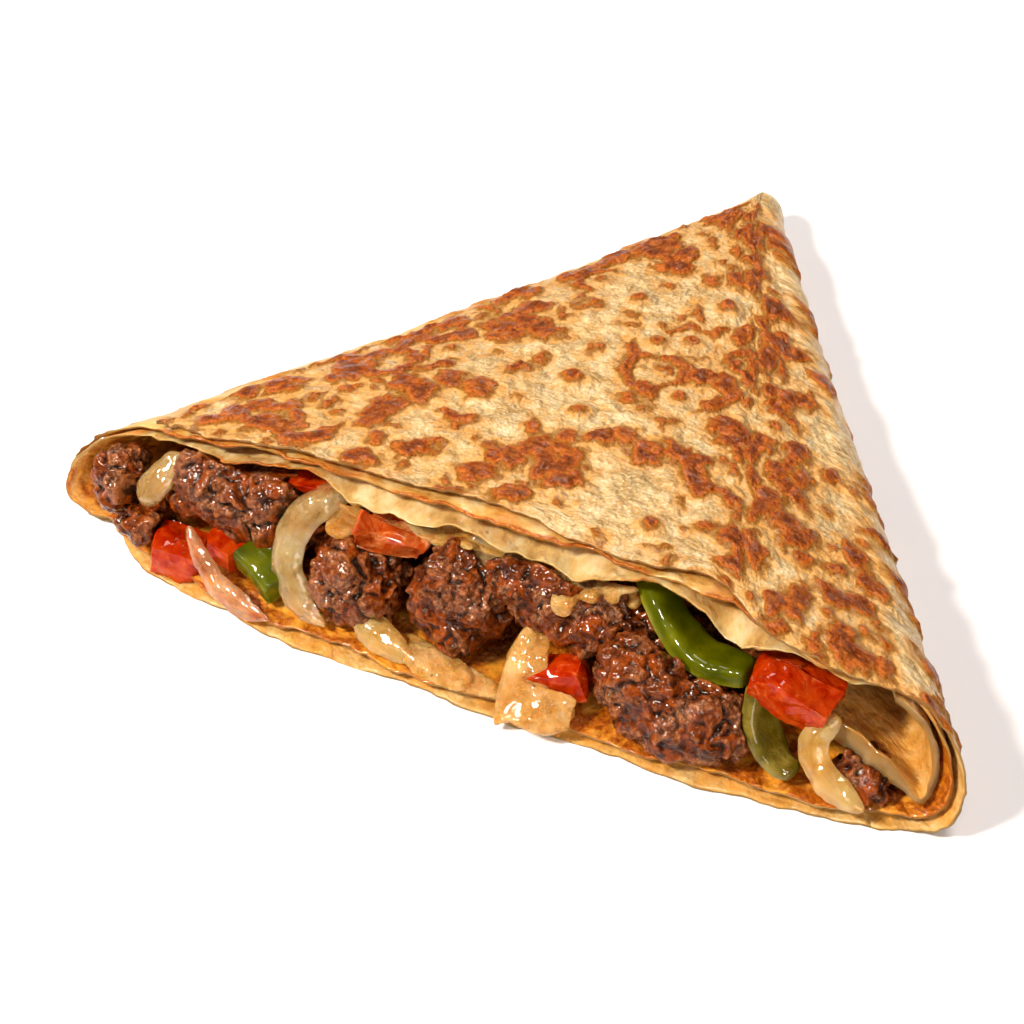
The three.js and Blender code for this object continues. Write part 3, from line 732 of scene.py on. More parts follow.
def crepe_piece(name, material, rulings, shares, first_turn):
    """A stretch of the folded sheet, with its relief, its uneven front edge and its browning.

    Gives the turn on the flat disc at which the next piece goes on."""
    lines = rulings.done(first_turn)
    back = mix(lines.start, lines.end, shares[None, :])
    flat = lines.flat_places(back)
    points, shape = flat.reshape(-1, 2), back.shape
    edge = front_edge(lines)
    back = back + edge * ease(back, lines.end - EDGE_RUN, lines.end)
    ahead = lines.end + edge - back
    # Relief: browned blisters stand up, the ground between them is crinkled.
    depth_out = OUTSIDE.depth_in(points).reshape(shape)
    depth_in = INSIDE.depth_in(points + INNER_SHIFT).reshape(shape)
    plan = lines.at(back, 0)[..., :2]
    up = np.where(lines.curled, 0.3, np.maximum(0, np.cos(np.radians(lines.turn))))
    bend = (0.6 * SURFACE.at(plan, 27) + 0.4 * SURFACE.at(plan + 50, 12)) * up * ease(back, 4, 30)
    crinkle = 0.34 * SURFACE.layered(flat, 5.5, 3, 0.66)
    crinkle = crinkle + 0.42 * np.abs(SURFACE.at(flat + 7, 3.8)) - 0.2
    crinkle = crinkle * mix(0.3, 1, ease(back, 6, 36))
    raised = ease(depth_out, -1.3, 1.0) * (1 + 0.45 * SURFACE.at(flat, 2.4))
    raised = raised * mix(0.85, 0.35, lines.hidden)
    outer = bend + crinkle * mix(1, 0.6, lines.hidden) + raised + ruffles(lines, ahead)
    outer = outer + OUTSIDE.blister_height(points).reshape(shape)
    outer = outer + 0.35 * SURFACE.at(flat + 15, 7) * (1 - ease(ahead, 0, 9))
    outer = outer * ease(back - lines.start, 0, 6)
    inner = thickness(lines, flat, ahead) - outer
    inner = inner + 0.6 * crinkle + 0.5 * raised * (1 - ease(ahead, 2, 9))
    fine = shares > 1 - INNER_FINE / DEPTH
    kept = [row for row in range(shape[1]) if row % INNER_STEP == 0 or fine[row]]
    grid = [lines.at(back, -outer).reshape(-1, 3), lines.at(back, inner)[:, kept].reshape(-1, 3)]
    grid = np.concatenate(grid)
    grid[:, 2] = np.maximum(grid[:, 2], LOWEST)
    # Values for the looks, on the outer face and on the inner face.
    level = np.clip(np.round(lines.level), 0, 2).astype(int)
    rim = scorched_rim(lines, flat, ahead, level)
    # The third coordinate keeps the looks from smearing round the tip, where the lines meet.
    wound = np.radians(np.maximum(lines.turn, lines.curl_turn)) * fold_radius(back)
    wound = wound * (1 - ease(back, 8, 55))
    faces = {
        "brown": (depth_out, depth_in - 0.6),
        "inner": (0, 1),
        "fatty": (0, greasiness(lines, flat, ahead, level)),
        "veil": (lines.veil, 0),
        "third": (lines.third, 0),
        "rim": (rim, rim),
        "wound": (wound, wound),
    }
    values = {}
    for key, (outside, inside) in faces.items():
        outside, inside = np.broadcast_to(outside, shape), np.broadcast_to(inside, shape)
        values[key] = np.concatenate([outside.ravel(), inside[:, kept].ravel()])
    place = np.concatenate([points, flat[:, kept].reshape(-1, 2) + INNER_SHIFT])
    values["place"] = np.column_stack([place, values.pop("wound")])
    placed(new_mesh(name, grid, slab_faces(*shape, kept), values), material, "crepe", "crepe")
    return lines.disc_turn[-1, 0]


# ---- the filling ----
OUT = rounded([0, -0.78, 0.62])  # the way the opening faces
ROOF_GAP = 1.0  # kept under the third top layer, which waves a little
ROOF_OPENS = 3.0  # how steeply the room for the filling rises ahead of that layer's edge
BEHIND = 0.3  # kept between a strip and the meat or cheese behind it
RING_SPACING = 0.4  # along a strip
RING_POINTS = 40
RING_EXTRA = 12
VOXEL = 0.36  # of the skin round tomato and cheese
MEAT_VOXEL = 0.31
BLOCK_VOXEL = 0.3
CORE_VOXEL = 1.0
MEAT_SUNK = 1.5  # how far the meat's skin is drawn in before its lumps stand out
MEAT_LOWEST, CHEESE_LOWEST = 0.5, 0.3  # heights of their lowest points


def hung_forward(side):
    return HANG_FORWARD * np.maximum(0, hang(side))


def roof(side, ahead):
    """The height of the third top layer's lower face, that far ahead of its end if it didn't hang."""
    back = DEPTH + top_reach(2, side) + ahead
    high = 2 * fold_radius(back) - 2 * LAYER_PITCH - SHEET
    high = high - hang(side) * (1 - ease(hung_forward(side) - ahead, 0, HANG_RUN))
    return high + crown(side, back) + flare(2, side, ahead)


def under_roof(side, past, below):
    """A place that far past and below the third top layer's hanging front edge."""
    ahead = hung_forward(side) + past
    back = DEPTH + top_reach(2, side) + ahead
    return [float(side * flat_half(side, back)), float(DEPTH - back), float(roof(side, ahead) - below)]


def kept_under_roof(points):
    """Points of the filling, held under the third top layer where it covers them."""
    back = DEPTH - points[:, 1]
    sign = np.where(points[:, 0] < 0, -1.0, 1.0)
    side = np.clip(np.abs(points[:, 0]) / flat_half(sign, back), 0, 1) * sign
    ahead = back - DEPTH - top_reach(2, side)
    past = np.maximum(0, ahead - hung_forward(side))
    held = points.copy()
    held[:, 2] = np.minimum(points[:, 2], roof(side, ahead) - ROOF_GAP + ROOF_OPENS * past)
    return held


def gathered(parts):
    """Joins (points, faces) parts into one mesh."""
    points, faces, start = [], [], 0
    for places, shape in parts:
        points.append(places)
        faces += [[int(corner) + start for corner in face] for face in shape]
        start += len(places)
    return np.concatenate(points), faces


def strip(path, width, thick, face, cup=0.0):
    """A strip's middle line, its widths and thicknesses along it, the way its flat face looks, and
    how far it is cupped."""
    return dict(path=path, width=width, thick=thick, face=face, cup=cup)


PEPPER = {
    "pepper_1": strip([[-54.6, -0.2, 9.5], [-43.2, -6.0, 8.3]], 10, 6.6, [0.05, -0.25, 1], 0.12),
    "pepper_2": strip([[30.5, 13, 26], [35, 8.5, 24], [40, 5.2, 20.8], [47, 3, 18], [57, 3, 18]],
                      [8, 9, 11, 11, 8], 4, [0.6, 0.2, 0.8], 0.16),
    "pepper_3": strip([[59, 1.5, 18.5], [61.5, -3, 12], [66, -6.5, 7.5], [71, -8, 6.5]],
                      [6, 8.6, 8.4, 4.4], [3, 2.8, 2.4, 1.8], [0.7, -0.2, 0.7], 0.14),
}
ONION = {
    "onion_1": strip([[-74.5, 6.5, 23.5], [-76.5, 3, 21], [-78.5, 0, 17.5], [-79, -2.5, 14]],
                     [5, 6.5, 7.8, 7.4], [1.6, 2, 2.8, 3], [-0.2, -0.8, 0.6], 0.2),
    "onion_2": strip([[-67.5, -4.2, 14.3], [-63.5, -7.2, 10.4], [-58.5, -9.8, 6.6], [-51, -12, 4.4],
                      [-44, -12.6, 3.8]],
                     [2.6, 4, 5, 5.2, 2.6], [1, 1.1, 1.1, 0.9, 0.6], [0.2, -0.8, 0.55], 0.24),
    "onion_3": strip([[-34.5, 9, 27], [-39, 4, 25.8], [-43.2, -0.3, 20.8], [-43.5, -5, 13.5],
                      [-38.5, -8.5, 7.5], [-32, -10.5, 5.5]],
                     [6, 8, 8.6, 7.8, 6.4, 3.4], [1.4, 1.6, 1.7, 1.6, 1.4, 1.2],
                     [-0.2, -0.7, 0.68], 0.34),
    "onion_4": strip([[-29, -5.5, 8.5], [-20.5, -9, 6.4], [-12, -11, 4.6]],
                     [4, 7.4, 5], [1.6, 2.8, 1.6], [0, -0.6, 0.8], 0.1),
    "onion_5": strip([[-5.5, 6.5, 28], [-2, 5.5, 25.5], [2, 5, 23.5]], 7, 2, [0.3, -0.8, 0.5]),
    "onion_6": strip([[76.5, -1, 19], [73, -4, 14.2], [74.5, -6.8, 10], [79.5, -8.8, 7.2],
                      [86, -10.2, 5.4]],
                     [4.6, 5.8, 6.2, 6, 3.6], [1.3, 1.5, 1.5, 1.3, 1], [0, -0.7, 0.7], 0.3),
}
PRESSED_IN = ("onion_4", "onion_5")  # these lie in the meat; it makes room for the other strips
AHEAD_OF_MEAT = [run for node, run in {**PEPPER, **ONION}.items() if node not in PRESSED_IN]
AHEAD_OF_CHEESE = [PEPPER["pepper_2"], PEPPER["pepper_3"]]


def catmull_rom(points, shares):
    """Points along a smooth line through the points, by even steps of its length, and the length."""
    points = np.asarray(points, float)
    first, last = 2 * points[0] - points[1], 2 * points[-1] - points[-2]
    knots = np.concatenate([[first], points, [last]])
    dense = []
    for k in range(len(points) - 1):
        a, b, c, d = knots[k : k + 4]
        t = np.linspace(0, 1, 40, endpoint=k == len(points) - 2)[:, None]
        square, cube = 2 * a - 5 * b + 4 * c - d, 3 * b - a - 3 * c + d
        dense.append(0.5 * (2 * b + (c - a) * t + square * t**2 + cube * t**3))
    dense = np.concatenate(dense)
    along = np.concatenate([[0], np.cumsum(np.linalg.norm(np.diff(dense, axis=0), axis=1))])
    want = np.asarray(shares) * along[-1]
    return np.stack([np.interp(want, along, dense[:, k]) for k in range(3)], axis=1), along[-1]


def middle_line(path, face, shares):
    """Points along a strip's middle line, with the directions along it, across it and out of it."""
    line, _ = catmull_rom(path, shares)
    way = rounded(np.gradient(line, axis=0))
    across = rounded(np.cross(way, rounded(face)))
    return line, way, across, np.cross(across, way)


def along_path(values, shares):
    """A value or evenly spaced values, as one for each share of the path."""
    values = np.atleast_1d(values)
    return np.interp(shares, np.linspace(0, 1, len(values)), values)


def pressed_behind(points, run):
    """Points, moved behind a strip that they would stand through."""
    shares = np.linspace(0, 1, 50)
    line, way, across, out = middle_line(run["path"], run["face"], shares)
    nearest = np.argmin(np.linalg.norm(points[:, None] - line[None], axis=2), axis=1)
    away = points - line[nearest]
    ahead, aside, along = ((away * axis[nearest]).sum(1) for axis in (out, across, way))
    half = along_path(run["width"], shares)[nearest] / 2
    deep = along_path(run["thick"], shares)[nearest] / 2
    share = (1 - ease(np.abs(aside), half - 0.3, half + 0.9)) * (1 - ease(np.abs(along), 0.5, 2))
    too_far = np.maximum(ahead + deep + BEHIND, 0) * (1 - ease(ahead, deep + 1.5, deep + 5))
    return points - out[nearest] * (too_far * share)[:, None]


def run_grid(path, width, thick, face, cup=0.0, seed=0, wobble=0.0, blunt=9, square=0.75, lens=1.0):
    """A strip along a path, as in the solids, with close rings: points, faces, values.

    "blunt" says how suddenly it ends; a low "square" makes its section boxy, a high "lens"
    thin-edged."""
    length = catmull_rom(path, [0, 1])[1]
    rings, around = int(length / RING_SPACING) + RING_EXTRA, RING_POINTS
    shares = (1 - np.cos(np.linspace(0, math.pi, rings))) / 2
    shares = mix(shares, np.linspace(0, 1, rings), 0.6)
    line, way, across, out = middle_line(path, face, shares)
    end = np.sqrt(np.maximum(0.004, 1 - np.abs(2 * shares - 1) ** blunt))
    turn = np.linspace(0, 2 * math.pi, around, endpoint=False)[None, :]
    half = (along_path(width, shares) * end / 2)[:, None]
    deep = (along_path(thick, shares) * np.sqrt(end) / 2)[:, None]
    curve = cup * half * np.sin(turn) ** 2
    corner = np.sign(np.sin(turn)) * np.abs(np.sin(turn)) ** (square * lens)
    flank = np.sign(np.cos(turn)) * np.abs(np.cos(turn)) ** square
    points = line[:, None] + across[:, None] * (half * flank)[..., None]
    points = points + out[:, None] * (deep * corner + curve)[..., None]
    outward = across[:, None] * np.cos(turn)[..., None] + out[:, None] * np.sin(turn)[..., None]
    noise = Noise(seed)
    shake = 1.4 * noise.at(points, 6.0) + noise.at(points, 2.6) + 0.3 * noise.at(points, 1.1)
    points = (points + outward * (wobble * shake)[..., None]).reshape(-1, 3)
    ends = [list(range(around)), [(rings - 1) * around + k for k in range(around)][::-1]]
    faces = quads(rings, around, ring=True).tolist() + ends
    strand = np.broadcast_arrays((shares * length)[:, None], half * flank, turn)
    skin = np.broadcast_to(np.sin(turn), (rings, around)).ravel()
    return points, faces, {
        "place": points, "strand": np.stack(strand, axis=-1).reshape(-1, 3), "skin": skin
    }


def strip_piece(node, material, slot, **run):
    return placed(new_mesh(f"{node}_strip", *run_grid(**run)), material, slot, node)


def block_piece(node, material, slot, **run):
    """A thick cut block: like a strip, but with flat faces and softened corners."""
    noise = Noise(19)

    def shape(places, normals, near):
        wave = 0.35 * noise.at(places, 5) + 0.12 * noise.at(places, 2)
        places = kept_under_roof(places + normals * wave[:, None])
        return places, {"skin": normals @ rounded(run["face"])}

    solid = run_grid(**run)[:2]
    name = f"{node}_strip"
    return skinned_piece(name, material, slot, node, solid, shape, BLOCK_VOXEL, relax=5, even=2)


def meat_piece(
    node, material, seed, voxel=MEAT_VOXEL, chunk=6.8, swell=0.2, shift=(0, 0, 0), slot="meat"
):
    """Seared minced meat: chunks that stand out unevenly, with creases, grains and pits."""
    noise = Noise(seed)

    def shape(places, normals, near):
        places = places + shift
        warp = noise.warp(places, 3.4, 2)
        inside, number = noise.chunks(places + 1.1 * warp, chunk)
        number = near.spread(number, 3)
        ridges = (1 - np.abs(noise.at(places + warp, 4.8))) ** 3
        crumbly = noise.at(places + 200, 7) + 0.5 * noise.at(places + 230, 3)
        crumbly = ease(crumbly, -0.25, 0.4)
        lumps = ease(inside, -0.3, 2.2) * (0.4 + 1.3 * number) + 1.5 * noise.at(places, 8)
        lumps = lumps + 0.8 * ridges + mix(0.3, 0.65, crumbly) * noise.billow(places, 3.3)
        grains = mix(0.08, 0.34, crumbly) * noise.billow(places + 120, 1.5)
        grains = grains + 0.1 * noise.layered(places, 0.9, 2)
        pits = (1.2 + 1.2 * crumbly) * np.minimum(0, noise.at(places + 40, 3.8) + 0.45)
        places = places + normals * (lumps + grains + pits - MEAT_SUNK + swell)[:, None]
        places = kept_under_roof(mix(places, near.spread(places), 0.15))
        for run in AHEAD_OF_MEAT:
            places = pressed_behind(places, run)
        places[:, 2] = np.maximum(places[:, 2], MEAT_LOWEST)
        return places, {"hollow": near.hollows(places, normals), "crumbly": crumbly}

    name, solid = f"{node}_seared", cad_mesh(node)
    return skinned_piece(name, material, slot, node, solid, shape, voxel, relax=12, even=8)


def die_piece(node, material, seed, shift=(0, 0, 0), uneven=0.8, taper=0.0):
    """A cut die of tomato: soft corners and sunken, uneven faces; it can taper to the right."""
    noise = Noise(seed)

    def shape(places, normals, near):
        places = places + shift
        right = ease(places[:, 0], places[:, 0].min(), places[:, 0].max())
        narrowed = mix(1, 1 - taper, right[:, None] * [0, 1, 1])
        places = places.mean(0) + (places - places.mean(0)) * narrowed
        wave = uneven * noise.at(places, 7) + 0.25 * noise.at(places, 2.8)
        wave = wave + 0.06 * noise.at(places, 1.1)
        places = kept_under_roof(places + normals * (wave - 0.6)[:, None])
        return places, {"hollow": near.hollows(places, normals)}

    name, solid = f"{node}_cut", cad_mesh(node)
    return skinned_piece(name, material, "tomato", node, solid, shape, VOXEL, relax=7, even=2)


def cheese_piece(node, material, runs, wave, flat):
    """Melted cheese: its solid and runs under one smooth skin, sunk to a share of its height."""
    noise = Noise(81)

    def shape(places, normals, near):
        moved = wave * noise.at(places, 6) + 0.5 * wave * noise.at(places + 9, 2.6)
        moved = moved + 0.08 * noise.at(places, 1.3)
        places = kept_under_roof(places + normals * moved[:, None])
        for run in AHEAD_OF_CHEESE:
            places = pressed_behind(places, run)
        lowest = places[:, 2].min()
        places[:, 2] = np.maximum(lowest + (places[:, 2] - lowest) * flat, CHEESE_LOWEST)
        return places, {"hollow": near.hollows(places, normals)}

    name, solid = f"{node}_melted", gathered([cad_mesh(node), *runs])
    return skinned_piece(name, material, "cheese", node, solid, shape, VOXEL, relax=10, even=4)


def laid_on(path, ground, reach=1.4, search=9.0):
    """The path's points, moved the way the opening faces until they lie on the ground there."""
    laid = []
    for point in np.asarray(path, float):
        away = ground - point
        ahead = away @ OUT
        beside = np.linalg.norm(away - ahead[:, None] * OUT, axis=1)
        near = ahead[(beside < reach) & (np.abs(ahead) < search)]
        laid.append(point + OUT * (near.max() if len(near) else 0))
    return laid


# ---- looks ----
def crepe_look(name, coat, coat_roughness, glow):
    """The sheet. "glow" is the share of the light that goes through it and scatters."""
    look = Look(name, coat=(coat, coat_roughness, 1.24), scatter=(glow, (1.0, 0.7, 0.4), 0.0025),
                gloss=(0.2, (1.0, 0.72, 0.42, 1)))
    brown, inner, fatty = (look.attribute(key) for key in ("brown", "inner", "fatty"))
    veil, third, rim = (look.attribute(key) for key in ("veil", "third", "rim"))
    cloud = look.noise(4.2, 5, 0.62, 0.6)
    grit = look.noise(1.0, 6, 0.72)
    fine = look.noise(0.8, 2, 0.5)
    ragged = look.math("MULTIPLY_ADD", look.noise(2.2, 7, 0.76), 4.6, -2.3)
    depth = look.math("ADD", brown, ragged)
    # The unbrowned ground: golden cream, darker in patches, with a fine grain.
    ground = look.tinted(
        look.ramp(cloud, (0.27, "#b48b50"), (0.42, "#cfab70"), (0.56, "#e4ca96"), (0.75, "#f4e4c0")),
        (look.noise(9, 5, 0.65), 0.5, 0.6, 0.5, "#b09360"),
        (grit, 0.5, 0.34, 0.35, "#b4833f"),
        (fine, 0.5, 0.7, 0.6, "#fcf0d2"),
        (fine, 0.46, 0.3, 0.3, "#a67838"),
        (look.noise(21, 3), 0.5, 0.64, 0.4, "#e0ac5c"),
        (depth, -3.6, -0.9, 0.7, "#e29e44"),
    )
    # Browned islands: an orange shoulder, ragged edges, darker and grainy within.
    browned = look.ramp(
        look.span(depth, -0.9, 3.0),
        (0.0, "#e09a3c"), (0.16, "#cf7824"), (0.34, "#b2540e"), (0.62, "#8e3c05"), (1.0, "#6c2a03"),
    )
    browned = look.tinted(
        browned,
        (grit, 0.48, 0.7, 0.65, "#d07f34"),
        (look.noise(6, 3), 0.5, 0.66, 0.4, "#cb7428"),
        (fine, 0.5, 0.34, 0.5, "#5c1f02"),
    )
    color = look.tinted(ground, (depth, -0.95, -0.25, 1, browned))
    # The second and third sheets are golden and smooth at their front edges. Their colour there is also
    # made bright as painted light, standing for light that passes through the thin sheets into their
    # shade.
    streaks = look.noise(6, 4, 0.62)
    yellow = look.ramp(streaks, (0.34, "#c4862e"), (0.48, "#e4b65e"), (0.64, "#f6e0a6"))
    yellow = look.tinted(yellow, (look.noise(15, 3), 0.48, 0.6, 0.75, "#d4842a"))
    pale = look.ramp(streaks, (0.34, "#ba8e46"), (0.48, "#dab874"), (0.64, "#f2e0b0"))
    yellow = look.tinted(look.blend(third, yellow, pale), (look.cells(4.5), 0.1, 0.06, 0.6, "#8a5020"))
    color = look.blend(look.math("MULTIPLY", veil, 0.85), color, yellow)
    # The inner face is pale gold; where the filling lies on it, it is greasy and stained.
    smooth = look.ramp(cloud, (0.3, "#bc8a42"), (0.48, "#dab068"), (0.7, "#f2daa0"))
    patches = look.span(look.noise(8, 5, 0.62, 0.8), 0.42, 0.54, 0, 0.95)
    patches = look.math("MULTIPLY", patches, look.span(fatty, 0.8, 1, 0.25, 1))
    stain = look.ramp(grit, (0.34, "#702a02"), (0.5, "#b05608"), (0.68, "#de861c"))
    oily = look.ramp(look.noise(5, 3), (0.32, "#c9832c"), (0.48, "#efa02c"), (0.68, "#f1b04a"))
    color = look.blend(inner, color, smooth)
    color = look.blend(fatty, color, look.blend(patches, oily, stain))
    scorched = look.ramp(grit, (0.32, "#742a03"), (0.46, "#a5520e"), (0.62, "#dd9038"))
    rim = look.math("ADD", rim, look.span(grit, 0.3, 0.7, -0.25, 0.25))
    color = look.tinted(color, (rim, 0.25, 0.8, 1, scorched))
    color = look.blend(1.0, color, "#e3e1e0", "MULTIPLY")
    lumps, grains, islands = look.noise(3.2, 2, 0.5), look.noise(1.1, 3, 0.5), look.span(depth, -1.2, 0.3)
    height = look.added((lumps, 1.5), (grains, 0.35), (islands, 0.6))
    calm = look.math("MULTIPLY_ADD", inner, 0.5, veil)
    height = look.math("MULTIPLY", height, look.span(calm, 0, 1, 1.3, 0.35))
    return look.finish(color, look.span(look.noise(3, 4), 0.35, 0.65, 0.35, 0.6), height, 1.0)


def meat_look(name, pale):
    """Seared outside, dark red and orange brown; "pale" is how far the crumbly parts are unseared."""
    look = Look(name, coat=(1.0, 0.09, 1.26), gloss=(0.05, (1.0, 0.55, 0.25, 1)))
    hollow, grain = look.attribute("hollow"), look.noise(1.0, 6, 0.7)
    seared = look.ramp(
        look.noise(5.5, 4, 0.62, 0.6),
        (0.3, "#1c0600"), (0.44, "#3c1202"), (0.56, "#6c2d09"), (0.7, "#2c0a01"),
    )
    loose = look.ramp(grain, (0.3, "#2a1206"), (0.48, "#744228"), (0.66, "#ba865c"))
    color = look.tinted(
        seared,
        (look.noise(4.4, 4), 0.5, 0.6, 0.8, "#8a3a08"),
        (look.attribute("crumbly"), 0.35, 0.9, pale, loose),
        (grain, 0.52, 0.7, 0.5, "#b96a2e"),
        (grain, 0.42, 0.28, 0.5, "#240901"),
        # Near black in creases: painted shade.
        (hollow, 0.01, 0.17, 0.95, "#120200"),
        # Lighter orange brown on the crests: seared colour, with a painted glint.
        (hollow, -0.08, -0.3, 0.5, "#ac6430"),
    )
    height = look.added((look.noise(1.8, 2), 1.4), (look.noise(0.6, 3, 0.6), 0.6))
    return look.finish(color, look.span(look.noise(2.2, 3), 0.35, 0.65, 0.25, 0.45), height, 0.75)


def tomato_look(name, *shades):
    look = Look(name, coat=(1.0, 0.05, 1.28), scatter=(0.3, (1.0, 0.25, 0.06), 0.0025),
                gloss=(0.0, (1.0, 0.5, 0.2, 1)))
    color = look.tinted(
        look.ramp(look.noise(3.6, 4, 0.6, 1.2), *zip((0.3, 0.46, 0.6, 0.74), shades)),
        (look.noise(8, 2), 0.5, 0.66, 0.45, "#b8480e"),
        # Darker red in creases: painted shade.
        (look.attribute("hollow"), 0.02, 0.2, 0.5, "#6c0800"),
    )
    height = look.added((look.noise(2.2, 3), 1), (look.noise(0.8, 2), 0.35))
    return look.finish(color, look.span(look.noise(2, 2), 0.4, 0.6, 0.25, 0.4), height, 0.4)


def pepper_look(name, skins, fleshes, clear=0.0, coat_ior=1.23, wrinkles=0.14):
    look = Look(name, coat=(1.0, 0.06, coat_ior), scatter=(0.12, (0.7, 1.0, 0.1), 0.002),
                gloss=(0.15, (0.8, 1.0, 0.4, 1)), clear=(clear, 1.25))
    green = look.ramp(look.noise(7, 2), *zip((0.3, 0.5, 0.7), skins))
    flesh = look.ramp(look.noise(2.5, 3), *zip((0.35, 0.65), fleshes))
    color = look.tinted(green, (look.attribute("skin"), 0.1, -0.3, 1, flesh))
    height = look.added((look.noise(1.2, 3), 1), (look.noise(0.45, 2), 0.3))
    return look.finish(color, look.span(look.noise(3, 2), 0.4, 0.6, 0.3, 0.45), height, wrinkles)


def onion_look(name, pale, middle, deep, clear):
    look = Look(name, coat=(1.0, 0.03), scatter=(0.3, (1.0, 0.7, 0.35), 0.003), gloss=(0.2,),
                clear=(clear, 1.2))
    strand = look.scaled(look.attribute("strand", "Vector"), (0.07, 1, 0))
    lines, cloud = look.noise(1.5, 3, 0.5, vector=strand), look.noise(5, 4)
    color = look.ramp(look.added((lines, 0.3), (cloud, 0.7)), (0.3, deep), (0.48, middle), (0.68, pale))
    height = look.added((lines, 1), (look.noise(1.6, 2), 1.2))
    return look.finish(color, look.span(cloud, 0.4, 0.6, 0.08, 0.2), height, 0.3)


def cheese_look():
    look = Look("cheese_melted", coat=(0.8, 0.08, 1.28), scatter=(0.6, (1.0, 0.7, 0.3), 0.003),
                gloss=(0.4, (1.0, 0.8, 0.5, 1)), clear=(0.5, 1.22))
    cloud = look.noise(6, 4, 0.6, 0.4)
    color = look.tinted(
        look.ramp(cloud, (0.3, "#bc8238"), (0.46, "#d8a658"), (0.62, "#ecca8c")),
        (look.cells(5), 0.09, 0.05, 0.7, "#8a4a16"),
        (look.noise(9, 2), 0.52, 0.66, 0.45, "#c07e2c"),
        # Browner in creases: painted shade.
        (look.attribute("hollow"), 0.05, 0.3, 0.5, "#b06a20"),
    )
    height = look.added((look.noise(2.2, 4), 1), (look.noise(0.8, 3), 0.3))
    return look.finish(color, look.span(look.noise(3, 2), 0.4, 0.6, 0.25, 0.4), height, 0.7)


# ---- assembly ----
baked = crepe_look("crepe_baked", 0.4, 0.18, 0.2)
greasy = crepe_look("crepe_greasy", 0.65, 0.07, 0.45)
FIRST_SIDE = -0.98  # where the top sheet's loose edge lies
# The sheet's three pieces. A flat stretch is its sides, spacing, turn and level; a fold is its side,
# turns, spacing and levels.
top = Rulings().flat(FIRST_SIDE, 1, 0.75, 0, 0).fold(1, 0, 180, 0.8, 0, 0)
top.flat(1, SEAM, 0.95, 180, 0).to(SEAM, 180, 0)
base = Rulings().flat(SEAM, -1, 1.9, 180, 0).fold(-1, 180, 0, 0.95, 1, 0)
base.flat(-1, -SEAM, 1.2, 0, 1).to(-SEAM, 0, 1)
inside = Rulings().flat(-SEAM, 1, 1.2, 0, 1).fold(1, 0, 180, 1.2, 1, 1).flat(1, -1, 1.3, 180, 1)
inside.fold(-1, 180, 0, 1.2, 2, 1).flat(-1, 1, 1.2, 0, 2).curl(0.8)
reached = math.atan(FIRST_SIDE * flat_half(-1.0, DEPTH) / DEPTH)
for name, material, rulings, shares in (
    ("crepe_top", baked, top, even_rows(0.75)),
    ("crepe_base", baked, base, even_rows(1.15)),
    ("crepe_inside", greasy, inside, front_rows(0.65)),
):
    reached = crepe_piece(name, material, rulings, shares, reached)

seared_meat, pale_meat = meat_look("meat_seared", 0.55), meat_look("meat_crumbly", 0.9)
# Each lump's seed, how much it swells and how far it is moved.
MEAT = {
    "meat_1": dict(seed=21),
    "meat_2": dict(seed=22),
    "meat_3": dict(seed=23, swell=0.4),
    "meat_4": dict(seed=24, swell=0.6, shift=(0.3, -0.8, -1.2)),
    "meat_5": dict(seed=25),
    "meat_6": dict(seed=26, shift=(0, 0, 0.4)),
    "meat_7": dict(seed=27, swell=0.8, shift=(0.8, -0.8, -0.9)),
    "meat_8": dict(seed=34, swell=-0.4, shift=(-0.5, -1.0, -2.2)),
}
meats = []
for node, lump in MEAT.items():
    piece = meat_piece(node, pale_meat if node in ("meat_6", "meat_8") else seared_meat, **lump)
    meats.append(vectors(piece.data.vertices, "co") / MM + ORIGIN)
meats = np.concatenate(meats)
meat_piece("filling_core", seared_meat, 40, voxel=CORE_VOXEL, chunk=8, swell=0, slot="filling")

tomato = tomato_look("tomato_flesh", "#861000", "#9c2000", "#ac3406", "#c8683a")
cooked_tomato = tomato_look("tomato_cooked", "#8a2200", "#a03c0c", "#b45c2a", "#d09060")
TOMATO = {number: dict(material=tomato) for number in range(1, 7)}
TOMATO[1].update(shift=(0.4, -0.4, -3.2))
TOMATO[3] = dict(material=cooked_tomato, shift=(0.2, -0.7, -0.6), uneven=1.3, taper=0.45)
for number, die in TOMATO.items():
    die_piece(f"tomato_{number}", seed=50 + number, **die)

pepper = pepper_look("pepper_green", ("#363d00", "#4a5000", "#606202"), ("#70700a", "#8c8a2a"))
soft_pepper = pepper_look("pepper_soft", ("#443c04", "#66580c", "#968434"), ("#7c6c1a", "#a89444"),
                          clear=0.35, coat_ior=1.4, wrinkles=0.5)
boxy = dict(seed=61, wobble=0.12, blunt=24, square=0.42)
block_piece("pepper_1", pepper, "pepper", blunt=40, square=0.3, **PEPPER["pepper_1"])
strip_piece("pepper_2", pepper, "pepper", **boxy, **PEPPER["pepper_2"])
strip_piece("pepper_3", soft_pepper, "pepper", **boxy, **PEPPER["pepper_3"])

pale_onion = onion_look("onion_pale", "#f8e6b8", "#e2c080", "#b88c48", 0.74)
golden_onion = onion_look("onion_golden", "#f8e4a4", "#e6c070", "#c09038", 0.66)
pink_onion = onion_look("onion_pink", "#f2d8aa", "#e2aa78", "#c4683a", 0.72)
onions = {"onion_2": pink_onion, "onion_4": golden_onion, "onion_6": golden_onion}
thin, plump = dict(blunt=7, lens=1.8), dict(blunt=4, lens=1.1)
for node, run in ONION.items():
    shape = plump if node in ("onion_1", "onion_4") else thin
    material = onions.get(node, pale_onion)
    strip_piece(node, material, "onion", seed=71, wobble=0.3, square=1, **shape, **run)


def cheese_run(path, width, thick, face=OUT, lens=1.0):
    return run_grid(path, width, thick, face, lens=lens)[:2]


